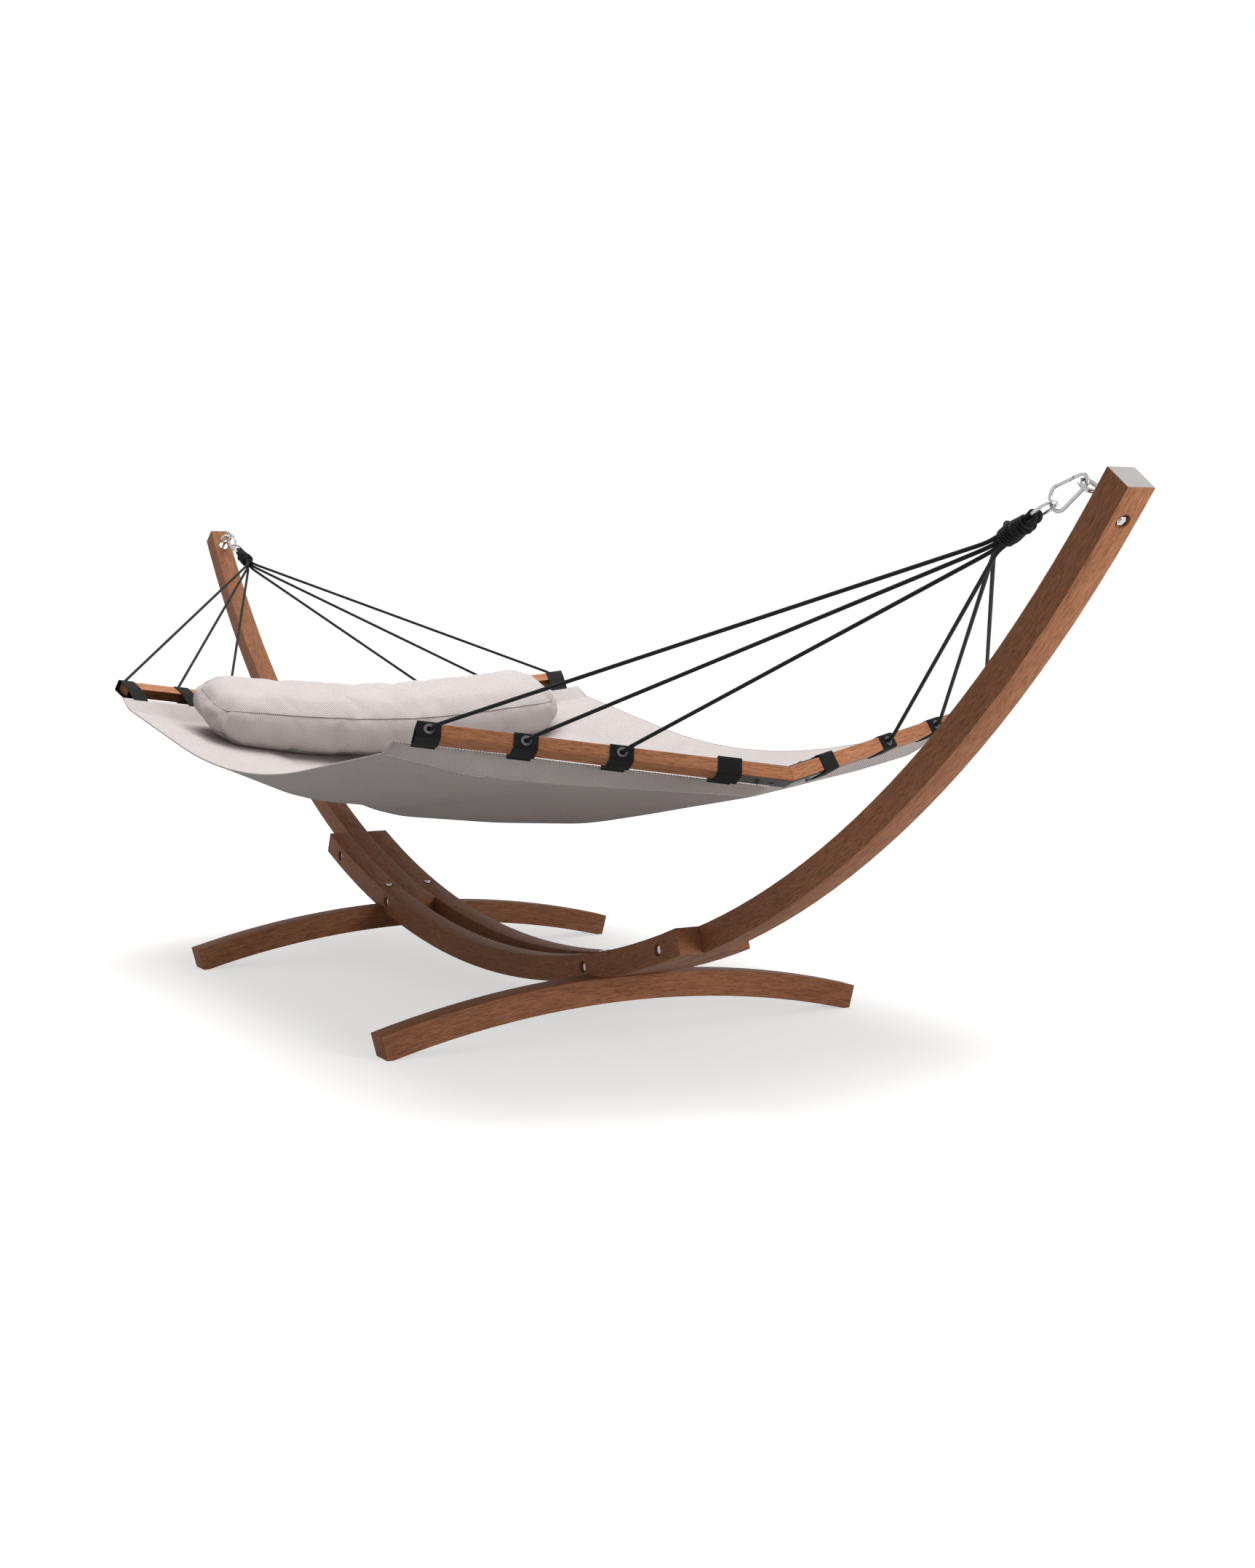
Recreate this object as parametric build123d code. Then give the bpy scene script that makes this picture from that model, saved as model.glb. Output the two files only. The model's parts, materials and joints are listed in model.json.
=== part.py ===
from build123d import *
from math import asin, atan2, cos, degrees, pi, radians, sin, sqrt, tan
import os

# A hammock on a timber arc stand. Two side rails clasp two arms that rise along one circle, two
# arched feet cross under them, and the cloth bed hangs between the arm tops on snap hooks, ropes
# and two V shaped spreader bars, with a loose pillow at the head end (-X). The toe end is +X.
# Millimetres, +X along the stand, +Z up, origin on the floor under the middle of the stand.

# Stand timber
TIMBER = 60.0                 # square section of rails, arms and feet
ARC_RADIUS = 2780.0           # underside of the rails and the outer side of the arms
RAIL_LIFT = 60.0              # underside of the rails above the floor at mid length
RAIL_END_ANGLE = 21.0         # from straight down, in degrees
ARM_START_ANGLE = 10.5
ARM_END_ANGLE = 53.5
FOOT_X = 614.0                # middle of each foot
FOOT_RADIUS = 2400.0          # underside of a foot
FOOT_HALF_SPAN = 617.5        # end of a foot at the floor
SEAT_CUT = 2.0                # flat planed off a foot's crown
SEAT_SHADOW = 1.1             # gap over the seat at the members' outer side
NOTCH_PLAY = 0.5

# Stand fasteners
BOLT_DIAMETER = 10.0
BOLT_HOLE = 11.0
HEX_ACROSS = 16.0
HEAD_HEIGHT = 6.4
NUT_HEIGHT = 8.4
WASHER_DIAMETER = 20.0
WASHER_THICKNESS = 2.0
THREAD_TAIL = 1.6             # thread past a nut
HEAD_ROUNDING = 0.45          # share of a domed head's height that is rounded
COUNTERBORE = 27.0
COUNTERBORE_DEPTH = 14.0
RAIL_BOLT_ANGLES = (11.9, 19.1)
BUTTON_HEAD_DIAMETER = 19.0
BUTTON_HEAD_HEIGHT = 5.5
SPOT_FACE = 23.0
SPOT_FACE_DEPTH = 3.4

# Eye bolts
EYE_ANGLE = 52.1              # place of an eye bolt along the arc, in degrees
EYE_STANDOFF = 41.0           # arm face to ring centre
EYE_RING_RADIUS = 16.0        # to the middle of the wire
EYE_WIRE = 8.0
EYE_WASHER_DIAMETER = 27.0
EYE_WASHER_PLAY = 0.05        # flat washer on the curved face

# Snap hook, its gate and the oval link
PULL_SLOPE = 25.35            # of the line from the eye to the rope bundle, in degrees
HOOK_WIRE = 7.0
HOOK_SMALL_RADIUS = 12.5      # narrow end, to the middle of the wire
HOOK_LARGE_RADIUS = 22.0      # wide end
HOOK_CENTRES = 59.3           # between the two end radii
METAL_GAP = 0.5               # between links that hang in each other
GATE_START = 20.0             # gate pin, from the narrow end's tangent point
GATE_TIP_GAP = 0.6
GATE_PIN_RADIUS = 1.25
GATE_EAR_REACH = 4.0
GATE_SLOT_DEPTH = 6.5
GATE_SLOT = 3.4
TANG_THICKNESS = 3.0
TANG_REACH = 3.0
TANG_SHOULDER = 6.8           # gate pin back to the full wire
PIN_PLAY = 0.03
LINK_WIRE = 6.0
LINK_LENGTH = 50.0            # between the middles of the end wires
LINK_RADIUS = 14.0

# Rope bundle and lashing
BIGHT_DIAMETER = 11.0         # rope loop that holds the link
BIGHT_CONVERGE = 25.0         # degrees that its legs turn in
BIGHT_LEG = 13.0
CORE_START = 2.0              # bound core's end inside the rope loop's legs
LASHING_CORD = 6.5
LASHING_PITCH = 7.3
LASHING_TURNS = 9
LASHING_START = 17.0          # from the far end of the link
LASHING_RADII = ((0.0, 11.5), (20.0, 13.5), (44.0, 16.5), (68.0, 14.6))
LASHING_PLAY = 0.3
MOUTH_RADIUS = 15.5
MOUTH_RUN = 13.0              # flare past the last turn

# Ropes
ROPE_DIAMETER = 8.0
ROPE_SIDE_OFFSET = 5.2
ROPE_ROW_PITCH = 9.0
ROPE_FIRST_RUN = 20.0
ROPE_RUN_SHARE = 0.45         # of that run, taken up by its arc
ROPE_CORNER = 8.0             # outside the strap, where a rope turns into the bar
ROPE_CORNER_RADIUS = 10.0
STOPPER_DIAMETER = 18.0
STOPPER_HEIGHT = 11.0
STOPPER_EDGE = 3.85           # rounding of its rims
STOPPER_PLAY = 0.2

# Spreader bars
BAR_REACH = 833.2             # eye ring to the bar's apex edge, along X
BAR_DROP = 537.4              # and down
BAR_LENGTH = 750.0            # of one half, on its long edge
BAR_WIDTH = 42.0
BAR_THICKNESS = 29.0
BAR_SWEEP = 19.8              # degrees that a half runs back in plan
BAR_RISE = 0.1395             # height gained for each unit outwards
BAR_TILT = 23.8               # degrees that the bar leans up to the eye
BAR_HOLE = 10.0
BAR_RECESS = 22.0
BAR_RECESS_DEPTH = 14.0
PLATE_THICKNESS = 3.0
PLATE_WIDTH = 30.0
PLATE_REACH = 150.0
PLATE_BOLT = 6.0
PLATE_BOLT_PLAY = 0.12
PLATE_THREAD_TAIL = 1.0
PLATE_BOLT_AT = 62.0
PLATE_HEAD_DIAMETER = 12.0
PLATE_HEAD_HEIGHT = 3.4
PLATE_NUT_ACROSS = 10.0
PLATE_NUT_HEIGHT = 5.0
PLATE_SLOT_AT = 34.0
PLATE_SLOT_LENGTH = 14.0
PLATE_SLOT_WIDTH = 6.0

# Webbing straps and eyelets
STRAP_WIDTH = 49.0
STRAP_THICKNESS = 2.0
STRAP_PLAY = 0.3
STRAP_PITCH = 194.3
STRAP_SETBACK = 13.4          # bar end to the middle of the outer strap
INNER_STRAP_AT = 125.3        # from the apex
TAIL_THICKNESS = 4.2
TAIL_CLOSE = 8.0              # solid webbing at the tail's end
EYELET_FLANGE = 22.0
EYELET_FLANGE_THICKNESS = 1.2
EYELET_BORE = 10.6
EYELET_BARREL = 12.4
EYELET_PLAY = 0.1

# Cloth bed
CLOTH_THICKNESS = 3.0
HEM_SETBACK = 88.0            # bar's outer face to the bed's end edge
HEM_BELOW = 12.0              # bar's top face down to that edge
HEM_GAP = 1.0
HEM_WIDTH = 55.0
BED_OVERHANG = 24.5           # bed's side past the bar's end
INNER_FOLD = 330.0
OUTER_FOLD = 385.0
CENTRE_PANEL = 138.0
BED_CURVE_SHARE = 0.5         # of the half length that is curved, the rest hangs straight
BED_SAG = 226.7               # apex edge of the bar down to the middle of the bed
CENTRE_PANEL_SAG = 219.0
INNER_FOLD_SAG = 199.0
OUTER_FOLD_SAG = 172.0
SIDE_PANEL_SAG = 146.0
SIDE_EDGE_SAG = 77.0
HEM_DROPS = (24.0, 33.0, 44.0, 47.0, 52.0, 28.0)   # end edge to stitch line, centre to side
BED_SETTLING = 30             # steps of working out a row's slope

# Pillow
PILLOW_SETBACK = 468.0        # middle of the pillow from the bar's apex edge
PILLOW_WIDTH = 272.0
PILLOW_HALF_LENGTH = 550.0
PILLOW_TILT = 20.0
PILLOW_HEIGHT = 128.0
PILLOW_BEND = 46.0            # ends above the middle
PILLOW_CROWN = 16.0
PILLOW_BULGE = 14.0
PILLOW_DRAW = 15.4            # sides drawn in from the full width
PILLOW_PLACES = 9             # across its underside, where it is set over the bed
PILLOW_SHAPE = ((0.0, 1.0, 1.0), (0.25, 1.0, 1.0), (0.6, 0.98, 0.96),
                (0.82, 0.94, 0.86), (0.96, 0.82, 0.62), (1.0, 0.66, 0.40))
PILLOW_FREE = 0.5              # over the bed's rows before the pillow is let down
PILLOW_GAP = 0.3


# Circle that the rails and arms follow, seen from the side
ARC_CENTRE_Z = RAIL_LIFT + ARC_RADIUS
INNER_RADIUS = ARC_RADIUS - TIMBER
HALF_STACK = 1.5 * TIMBER
WIDE = 4 * ARC_RADIUS
PAST = 1.0                    # a cut is carried on past a face

FOOT_OUTER_X = FOOT_X + TIMBER / 2
SEAT_Z = ARC_CENTRE_Z - sqrt(ARC_RADIUS ** 2 - FOOT_OUTER_X ** 2) - SEAT_SHADOW
FOOT_CROWN = SEAT_Z + SEAT_CUT - TIMBER


def arc_point(radius, angle, y=0.0):
    """Point on the stand's circle, angle in degrees from straight down towards +X."""
    return Vector(radius * sin(radians(angle)), y, ARC_CENTRE_Z - radius * cos(radians(angle)))


def toe_and_head(shape):
    """A toe end piece and its mirror image at the head end."""
    return shape, mirror(shape, about=Plane.YZ)


def both_sides(shape):
    """A piece at +Y and its mirror image at -Y."""
    return shape, mirror(shape, about=Plane.XZ)


def along(origin, direction, x_dir=None):
    """Frame whose Z runs along a direction."""
    if x_dir is None:
        return Plane(origin=origin, z_dir=direction)
    return Plane(origin=origin, x_dir=x_dir, z_dir=direction)


def spot(frame, x, y, z):
    """Point given in a frame."""
    return frame.from_local_coords(Vector(x, y, z))


def rod(radius, low, high):
    """Cylinder on Z between two heights."""
    return Pos(0, 0, (low + high) / 2) * Cylinder(radius, high - low)


def block(x_low, x_high, y_low, y_high, z_low, z_high):
    """Box between two corners."""
    size = Box(x_high - x_low, y_high - y_low, z_high - z_low)
    return Pos((x_low + x_high) / 2, (y_low + y_high) / 2, (z_low + z_high) / 2) * size


def hex_prism(across, low, high):
    """Hexagonal prism on Z between two heights."""
    outline = RegularPolygon(across / 2, 6, major_radius=False)
    return Pos(0, 0, low) * extrude(outline, amount=high - low)


def tube(path, radius):
    """Round rod swept along a smooth path."""
    start = Plane(origin=path @ 0, z_dir=path % 0)
    return sweep(start * Circle(radius), path=path)


def washer(outer, hole, low, thickness):
    """Flat washer on Z."""
    return rod(outer / 2, low, low + thickness) - rod(hole / 2, low - PAST, low + thickness + PAST)


def hex_bolt(length):
    """Hexagon head bolt on Z, seated at 0, head upwards."""
    return hex_prism(HEX_ACROSS, 0, HEAD_HEIGHT) + rod(BOLT_DIAMETER / 2, -length, 0)


def button_bolt(diameter, head_diameter, head_height, length):
    """Domed head bolt on Z, seated at 0, head upwards."""
    head = rod(head_diameter / 2, 0, head_height)
    head = fillet(head.edges().sort_by(Axis.Z)[-1], HEAD_ROUNDING * head_height)
    return head + rod(diameter / 2, -length, 0)


def nut(across, bore, low, height):
    """Hexagon nut on Z."""
    return hex_prism(across, low, low + height) - rod(bore / 2, low - PAST, low + height + PAST)


# Stand

def arc_member(start, end, y_low):
    """Timber bent along the stand's circle, cut square to it at both ends."""
    middle = (start + end) / 2
    outer = ThreePointArc(arc_point(ARC_RADIUS, start), arc_point(ARC_RADIUS, middle),
                          arc_point(ARC_RADIUS, end))
    inner = ThreePointArc(arc_point(INNER_RADIUS, start), arc_point(INNER_RADIUS, middle),
                          arc_point(INNER_RADIUS, end))
    ends = [Line(outer @ 0, inner @ 0), Line(outer @ 1, inner @ 1)]
    side = Pos(0, y_low, 0) * make_face([outer, inner] + ends)
    return extrude(side, amount=TIMBER, dir=(0, 1, 0))


def seat_notch():
    """What the members lose to sit flat on the toe end foot."""
    half = TIMBER / 2 + NOTCH_PLAY
    return block(FOOT_X - half, FOOT_X + half, -WIDE, WIDE, -WIDE, SEAT_Z)


def rail_bolt_frames():
    """Frames of the four through bolts, Z from the bolt's middle towards its head."""
    radius = (ARC_RADIUS + INNER_RADIUS) / 2
    return [along(arc_point(radius, side * angle), (0, -1, 0)) for side in (1, -1)
            for angle in RAIL_BOLT_ANGLES]


def foot_bolt_places():
    """Plan positions of the four vertical bolts."""
    return [(x, y) for x in (FOOT_X, -FOOT_X) for y in (TIMBER, -TIMBER)]


RAIL_SEAT = HALF_STACK - COUNTERBORE_DEPTH
SPOT_Z = ARC_CENTRE_Z - sqrt(INNER_RADIUS ** 2 - FOOT_X ** 2) - SPOT_FACE_DEPTH
FOOT_NUT_Z = FOOT_CROWN + COUNTERBORE_DEPTH


def rail_bolt_bores():
    """Bores and counterbores for the through bolts."""
    bore = rod(BOLT_HOLE / 2, -WIDE, WIDE)
    for low, high in ((RAIL_SEAT, WIDE), (-WIDE, -RAIL_SEAT)):
        bore += rod(COUNTERBORE / 2, low, high)
    return [frame * bore for frame in rail_bolt_frames()]


def foot_bolt_bores():
    """Bores, spot faces and counterbores for the vertical bolts."""
    bore = rod(BOLT_HOLE / 2, 0, 2 * SPOT_Z)
    bore += rod(SPOT_FACE / 2, SPOT_Z, 2 * SPOT_Z)
    bore += rod(COUNTERBORE / 2, -TIMBER, FOOT_NUT_Z)
    return [Pos(x, y, 0) * bore for x, y in foot_bolt_places()]


def eye_frame():
    """Frame of the toe end eye bolt: origin on the arm's inner face, Z towards the ring."""
    face = arc_point(INNER_RADIUS, EYE_ANGLE)
    inward = (arc_point(0, EYE_ANGLE) - face).normalized()
    return along(face, inward, x_dir=(0, 1, 0))


EYE_NUT_SEAT = COUNTERBORE_DEPTH - TIMBER


def stand_pieces():
    """Rails, arms, feet and their fasteners."""
    notches = toe_and_head(seat_notch())
    cuts = rail_bolt_bores() + foot_bolt_bores() + list(notches)
    rail = arc_member(-RAIL_END_ANGLE, RAIL_END_ANGLE, TIMBER / 2)
    pieces = {}
    for name, member in zip(("rail_right", "rail_left"), both_sides(rail)):
        pieces[name] = member - cuts

    eye_bore = rod(BOLT_HOLE / 2, -WIDE / 4, TIMBER) + rod(COUNTERBORE / 2, -WIDE / 4, EYE_NUT_SEAT)
    arm = arc_member(ARM_START_ANGLE, ARM_END_ANGLE, -TIMBER / 2)
    arm = arm - (rail_bolt_bores() + [notches[0], eye_frame() * eye_bore])
    pieces["toe_arm"], pieces["head_arm"] = toe_and_head(arm)

    pieces["toe_foot"], pieces["head_foot"] = toe_and_head(foot() - foot_bolt_bores())
    pieces.update(stand_fasteners())
    return pieces


def foot():
    """Arched cross foot, flat on the floor at both ends and flat on its crown."""
    end_angle = degrees(atan2(FOOT_HALF_SPAN, FOOT_RADIUS - FOOT_CROWN))
    centre_z = FOOT_CROWN - FOOT_RADIUS

    def place(radius, angle):
        return Vector(FOOT_X - TIMBER / 2, radius * sin(radians(angle)),
                      centre_z + radius * cos(radians(angle)))

    under, over = [ThreePointArc(place(radius, -end_angle), place(radius, 0), place(radius, end_angle))
                   for radius in (FOOT_RADIUS, FOOT_RADIUS + TIMBER)]
    ends = [Line(under @ 0, over @ 0), Line(under @ 1, over @ 1)]
    arch = extrude(make_face([under, over] + ends), amount=TIMBER, dir=(1, 0, 0))
    return arch & block(0, WIDE, -WIDE, WIDE, 0, SEAT_Z)


def stand_fasteners():
    """Through bolts, foot bolts and eye bolts with washers and nuts."""
    bolt_seat = RAIL_SEAT + WASHER_THICKNESS
    stack = 2 * bolt_seat + NUT_HEIGHT + THREAD_TAIL
    nut_seat = -bolt_seat - NUT_HEIGHT
    bolts, washers, nuts = [], [], []
    for frame in rail_bolt_frames():
        bolts.append(frame * Pos(0, 0, bolt_seat) * hex_bolt(stack))
        for low in (RAIL_SEAT, -bolt_seat):
            washers.append(frame * washer(WASHER_DIAMETER, BOLT_HOLE, low, WASHER_THICKNESS))
        nuts.append(frame * nut(HEX_ACROSS, BOLT_DIAMETER, nut_seat, NUT_HEIGHT))

    top = SPOT_Z + WASHER_THICKNESS
    low_washer = FOOT_NUT_Z - WASHER_THICKNESS
    length = top - low_washer + NUT_HEIGHT + THREAD_TAIL
    foot_bolts, foot_washers, foot_nuts = [], [], []
    for x, y in foot_bolt_places():
        button = button_bolt(BOLT_DIAMETER, BUTTON_HEAD_DIAMETER, BUTTON_HEAD_HEIGHT, length)
        foot_bolts.append(Pos(x, y, top) * button)
        for low in (SPOT_Z, low_washer):
            flat = washer(WASHER_DIAMETER, BOLT_HOLE, low, WASHER_THICKNESS)
            foot_washers.append(Pos(x, y, 0) * flat)
        under_nut = nut(HEX_ACROSS, BOLT_DIAMETER, low_washer - NUT_HEIGHT, NUT_HEIGHT)
        foot_nuts.append(Pos(x, y, 0) * under_nut)

    ring = Pos(0, 0, EYE_STANDOFF) * Rot(90, 0, 0) * Torus(EYE_RING_RADIUS, EYE_WIRE / 2)
    eye_nut = EYE_NUT_SEAT - WASHER_THICKNESS - NUT_HEIGHT
    shank = rod(BOLT_DIAMETER / 2, eye_nut - THREAD_TAIL, EYE_STANDOFF - EYE_RING_RADIUS)
    frame = eye_frame()
    eyes = toe_and_head(frame * (ring + shank))
    eye_washers = [washer(EYE_WASHER_DIAMETER, BOLT_HOLE, EYE_WASHER_PLAY, WASHER_THICKNESS),
                   washer(WASHER_DIAMETER, BOLT_HOLE, EYE_NUT_SEAT - WASHER_THICKNESS, WASHER_THICKNESS)]
    washer_pairs = [toe_and_head(frame * each) for each in eye_washers]
    nut_pair = toe_and_head(frame * nut(HEX_ACROSS, BOLT_DIAMETER, eye_nut, NUT_HEIGHT))
    return {
        "rail_through_bolts": bolts,
        "rail_bolt_washers": washers,
        "rail_bolt_nuts": nuts,
        "foot_bolts": foot_bolts,
        "foot_bolt_washers": foot_washers,
        "foot_bolt_nuts": foot_nuts,
        "toe_eye_bolt": eyes[0],
        "head_eye_bolt": eyes[1],
        "eye_bolt_washers": [each for pair in washer_pairs for each in pair],
        "eye_bolt_nuts": list(nut_pair),
    }


# Hook, gate, link and rope bundle, drawn for the toe end in a frame along the line of pull

def pull_frame():
    """Origin on the eye's outer wire, X towards the bed, Y up and away from it, Z across."""
    origin = spot(eye_frame(), 0, 0, EYE_STANDOFF + EYE_RING_RADIUS)
    slope = radians(PULL_SLOPE)
    return Plane(origin=origin, x_dir=(-cos(slope), 0, -sin(slope)), z_dir=(0, 1, 0))


def polar(centre, radius, angle):
    """Point of a circle in the pull frame, angle in degrees from its X."""
    return Vector(centre + radius * cos(radians(angle)), radius * sin(radians(angle)))


SMALL_CENTRE = HOOK_SMALL_RADIUS - (HOOK_WIRE + EYE_WIRE) / 2 - METAL_GAP
LARGE_CENTRE = SMALL_CENTRE + HOOK_CENTRES
HOOK_FLARE = degrees(asin((HOOK_LARGE_RADIUS - HOOK_SMALL_RADIUS) / HOOK_CENTRES))
LINK_NEAR = LARGE_CENTRE + HOOK_LARGE_RADIUS - (HOOK_WIRE + LINK_WIRE) / 2 - METAL_GAP
LINK_FAR = LINK_NEAR + LINK_LENGTH


def gate_line():
    """The hook's upper straight side: tangent points on its narrow and wide ends."""
    rise = 90 + HOOK_FLARE
    return polar(SMALL_CENTRE, HOOK_SMALL_RADIUS, rise), polar(LARGE_CENTRE, HOOK_LARGE_RADIUS, rise)


def gate_frame():
    """Frame on the gate pin, X along the gate towards its tip, Z along the pin."""
    near, far = gate_line()
    direction = (far - near).normalized()
    return Plane(origin=near + direction * GATE_START, x_dir=direction, z_dir=(0, 0, 1))


def gate_length():
    """Gate pin to the hook's nose."""
    near, far = gate_line()
    return (far - near).length - GATE_START


def x_rod(radius, low, high):
    """Cylinder on X between two places."""
    return Rot(0, 90, 0) * rod(radius, low, high)


def snap_hook():
    """Pear shaped wire with an open stretch for the gate and a flat tang for its pin."""
    near, far = gate_line()
    small_back = polar(SMALL_CENTRE, HOOK_SMALL_RADIUS, 180)
    small_end = polar(SMALL_CENTRE, HOOK_SMALL_RADIUS, -90 - HOOK_FLARE)
    large_start = polar(LARGE_CENTRE, HOOK_LARGE_RADIUS, -90 - HOOK_FLARE)
    large_front = polar(LARGE_CENTRE, HOOK_LARGE_RADIUS, 0)
    direction = (far - near).normalized()
    shoulder = near + direction * (GATE_START - TANG_SHOULDER)
    path = Wire([
        Line(shoulder, near),
        ThreePointArc(near, small_back, small_end),
        Line(small_end, large_start),
        ThreePointArc(large_start, large_front, far),
    ])
    tang = x_rod(HOOK_WIRE / 2, -TANG_SHOULDER, TANG_REACH)
    tang = tang & block(-WIDE, WIDE, -HOOK_WIRE, HOOK_WIRE, -TANG_THICKNESS / 2, TANG_THICKNESS / 2)
    tang = tang - rod(GATE_PIN_RADIUS + PIN_PLAY, -HOOK_WIRE, HOOK_WIRE)
    return tube(path, HOOK_WIRE / 2) + gate_frame() * tang


def gate():
    """Round gate with two ears that straddle the tang."""
    body = x_rod(HOOK_WIRE / 2, -GATE_EAR_REACH, gate_length() - GATE_TIP_GAP)
    body = body - block(-WIDE, GATE_SLOT_DEPTH, -HOOK_WIRE, HOOK_WIRE, -GATE_SLOT / 2, GATE_SLOT / 2)
    return gate_frame() * (body - rod(GATE_PIN_RADIUS + PIN_PLAY, -HOOK_WIRE, HOOK_WIRE))


def gate_pin():
    """Pin through the ears and the tang."""
    return gate_frame() * rod(GATE_PIN_RADIUS, -HOOK_WIRE / 2 + PIN_PLAY, HOOK_WIRE / 2 - PIN_PLAY)


def oval_link():
    """Closed oval link, its plane across the hook's."""
    near, far = LINK_NEAR + LINK_RADIUS, LINK_FAR - LINK_RADIUS
    side = [Line((near, 0, LINK_RADIUS), (far, 0, LINK_RADIUS)),
            ThreePointArc((far, 0, LINK_RADIUS), (LINK_FAR, 0, 0), (far, 0, -LINK_RADIUS)),
            Line((far, 0, -LINK_RADIUS), (near, 0, -LINK_RADIUS)),
            ThreePointArc((near, 0, -LINK_RADIUS), (LINK_NEAR, 0, 0), (near, 0, LINK_RADIUS))]
    return tube(Wire(side), LINK_WIRE / 2)


LASHING_A = LINK_FAR + LASHING_START
LASHING_B = LASHING_A + LASHING_TURNS * LASHING_PITCH
MOUTH = LASHING_B + MOUTH_RUN


def lashing_radius(place):
    """Radius of the lashing's middle line, at a place along it from its start."""
    last = LASHING_RADII[0]
    for step in LASHING_RADII[1:]:
        if place <= step[0]:
            share = (place - last[0]) / (step[0] - last[0])
            return last[1] + share * (step[1] - last[1])
        last = step
    return last[1]


def lashing_point(turn):
    """Point of the lashing's middle line after a number of turns."""
    place = turn * LASHING_PITCH
    radius = lashing_radius(place)
    return Vector(LASHING_A + place, radius * cos(2 * pi * turn), radius * sin(2 * pi * turn))


def lashing_tangent(turn):
    """Direction of the lashing's middle line."""
    step = 0.002
    return (lashing_point(turn + step) - lashing_point(turn - step)).normalized()


def biarc(start, start_way, end, end_way):
    """Two arcs that join two points smoothly with the given directions."""
    span = end - start
    ways = start_way + end_way
    bend = 2 * (1 - start_way.dot(end_way))
    reach = (sqrt(span.dot(ways) ** 2 + bend * span.dot(span)) - span.dot(ways)) / bend
    joint = (start + start_way * reach + end - end_way * reach) * 0.5
    first = Edge.make_tangent_arc(start, start_way, joint)
    return [first, Edge.make_tangent_arc(joint, first % 1, end)]


def lashing():
    """Cord wound on the rope bundle in one unbroken helix, with short straight ends."""
    quarters = 4 * LASHING_TURNS
    points = [lashing_point(count / 4) for count in range(quarters + 1)]
    ways = [lashing_tangent(count / 4) for count in range(quarters + 1)]
    edges = [Edge.make_line(points[0] - ways[0] * LASHING_CORD, points[0])]
    for count in range(quarters):
        edges += biarc(points[count], ways[count], points[count + 1], ways[count + 1])
    edges.append(Edge.make_line(points[-1], points[-1] + ways[-1] * LASHING_CORD))
    path = Wire(edges)
    report_winding(path)
    return tube(path, LASHING_CORD / 2)


def report_winding(path):
    """Print the lashing's least gap to itself, from points along it."""
    count = 40 * LASHING_TURNS
    places = [path @ (index / count) for index in range(count + 1)]
    skip = count // LASHING_TURNS // 2
    least = min((a - b).length for index, a in enumerate(places) for b in places[index + skip:])
    print("lashing: length", round(path.length, 1), "least gap", round(least - LASHING_CORD, 2))


def rope_loop():
    """Half of the rope loop that holds the link, from its crest into the bound core, and where it ends."""
    reach = (LINK_WIRE + BIGHT_DIAMETER) / 2 + METAL_GAP
    lean = radians(BIGHT_CONVERGE)
    crest = Vector(LINK_FAR - reach, 0)
    touch = Vector(LINK_FAR + reach * sin(lean), reach * cos(lean))
    end = touch + Vector(cos(lean), -sin(lean)) * (BIGHT_LEG / cos(lean))
    path = Wire([Edge.make_tangent_arc(crest, Vector(0, 1), touch), Line(touch, end)])
    return tube(path, BIGHT_DIAMETER / 2), end.X


def rope_bundle():
    """Rope loop round the link, the bound core and the flared mouth that the ropes leave."""
    half_loop, loop_end = rope_loop()
    inset = LASHING_CORD / 2 + LASHING_PLAY
    start = loop_end - CORE_START
    outline = [(start, 0), (start, LASHING_RADII[0][1] - inset)]
    outline += [(LASHING_A + place, radius - inset) for place, radius in LASHING_RADII[:-1]]
    outline.append((LASHING_B + LASHING_CORD, LASHING_RADII[-1][1] - inset))
    outline += [(MOUTH - LASHING_CORD / 2, MOUTH_RADIUS), (MOUTH, MOUTH_RADIUS), (MOUTH, 0)]
    core = revolve(make_face(Polyline(outline, close=True)), axis=Axis.X)
    return core + (half_loop + mirror(half_loop, about=Plane.XZ))


# Spreader bar, drawn for the toe end's +Y half: X to the eye, Y along the half, Z out of its top

def bar_frame():
    """Frame on the apex edge of the +Y half."""
    eye = pull_frame().origin
    way = Vector(-tan(radians(BAR_SWEEP)), 1, BAR_RISE).normalized()
    lean = Vector(cos(radians(BAR_TILT)), 0, sin(radians(BAR_TILT)))
    facing = (lean - way * lean.dot(way)).normalized()
    top = facing.cross(way)
    return Plane(origin=(eye.X - BAR_REACH, 0, eye.Z - BAR_DROP), x_dir=facing, z_dir=top)


def mitred(shape):
    """The part of a bar piece on its own side of the mitre."""
    return (bar_frame() * shape) & block(-WIDE, WIDE, 0, WIDE, -WIDE, WIDE)


def strap_places():
    """Places of the four straps along a half, from its end inwards."""
    outer = BAR_LENGTH - STRAP_SETBACK
    return [outer, outer - STRAP_PITCH, outer - 2 * STRAP_PITCH, INNER_STRAP_AT]


def rope_places():
    """Places of the three ropes along a half, the outer one first."""
    return strap_places()[:3]


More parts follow.
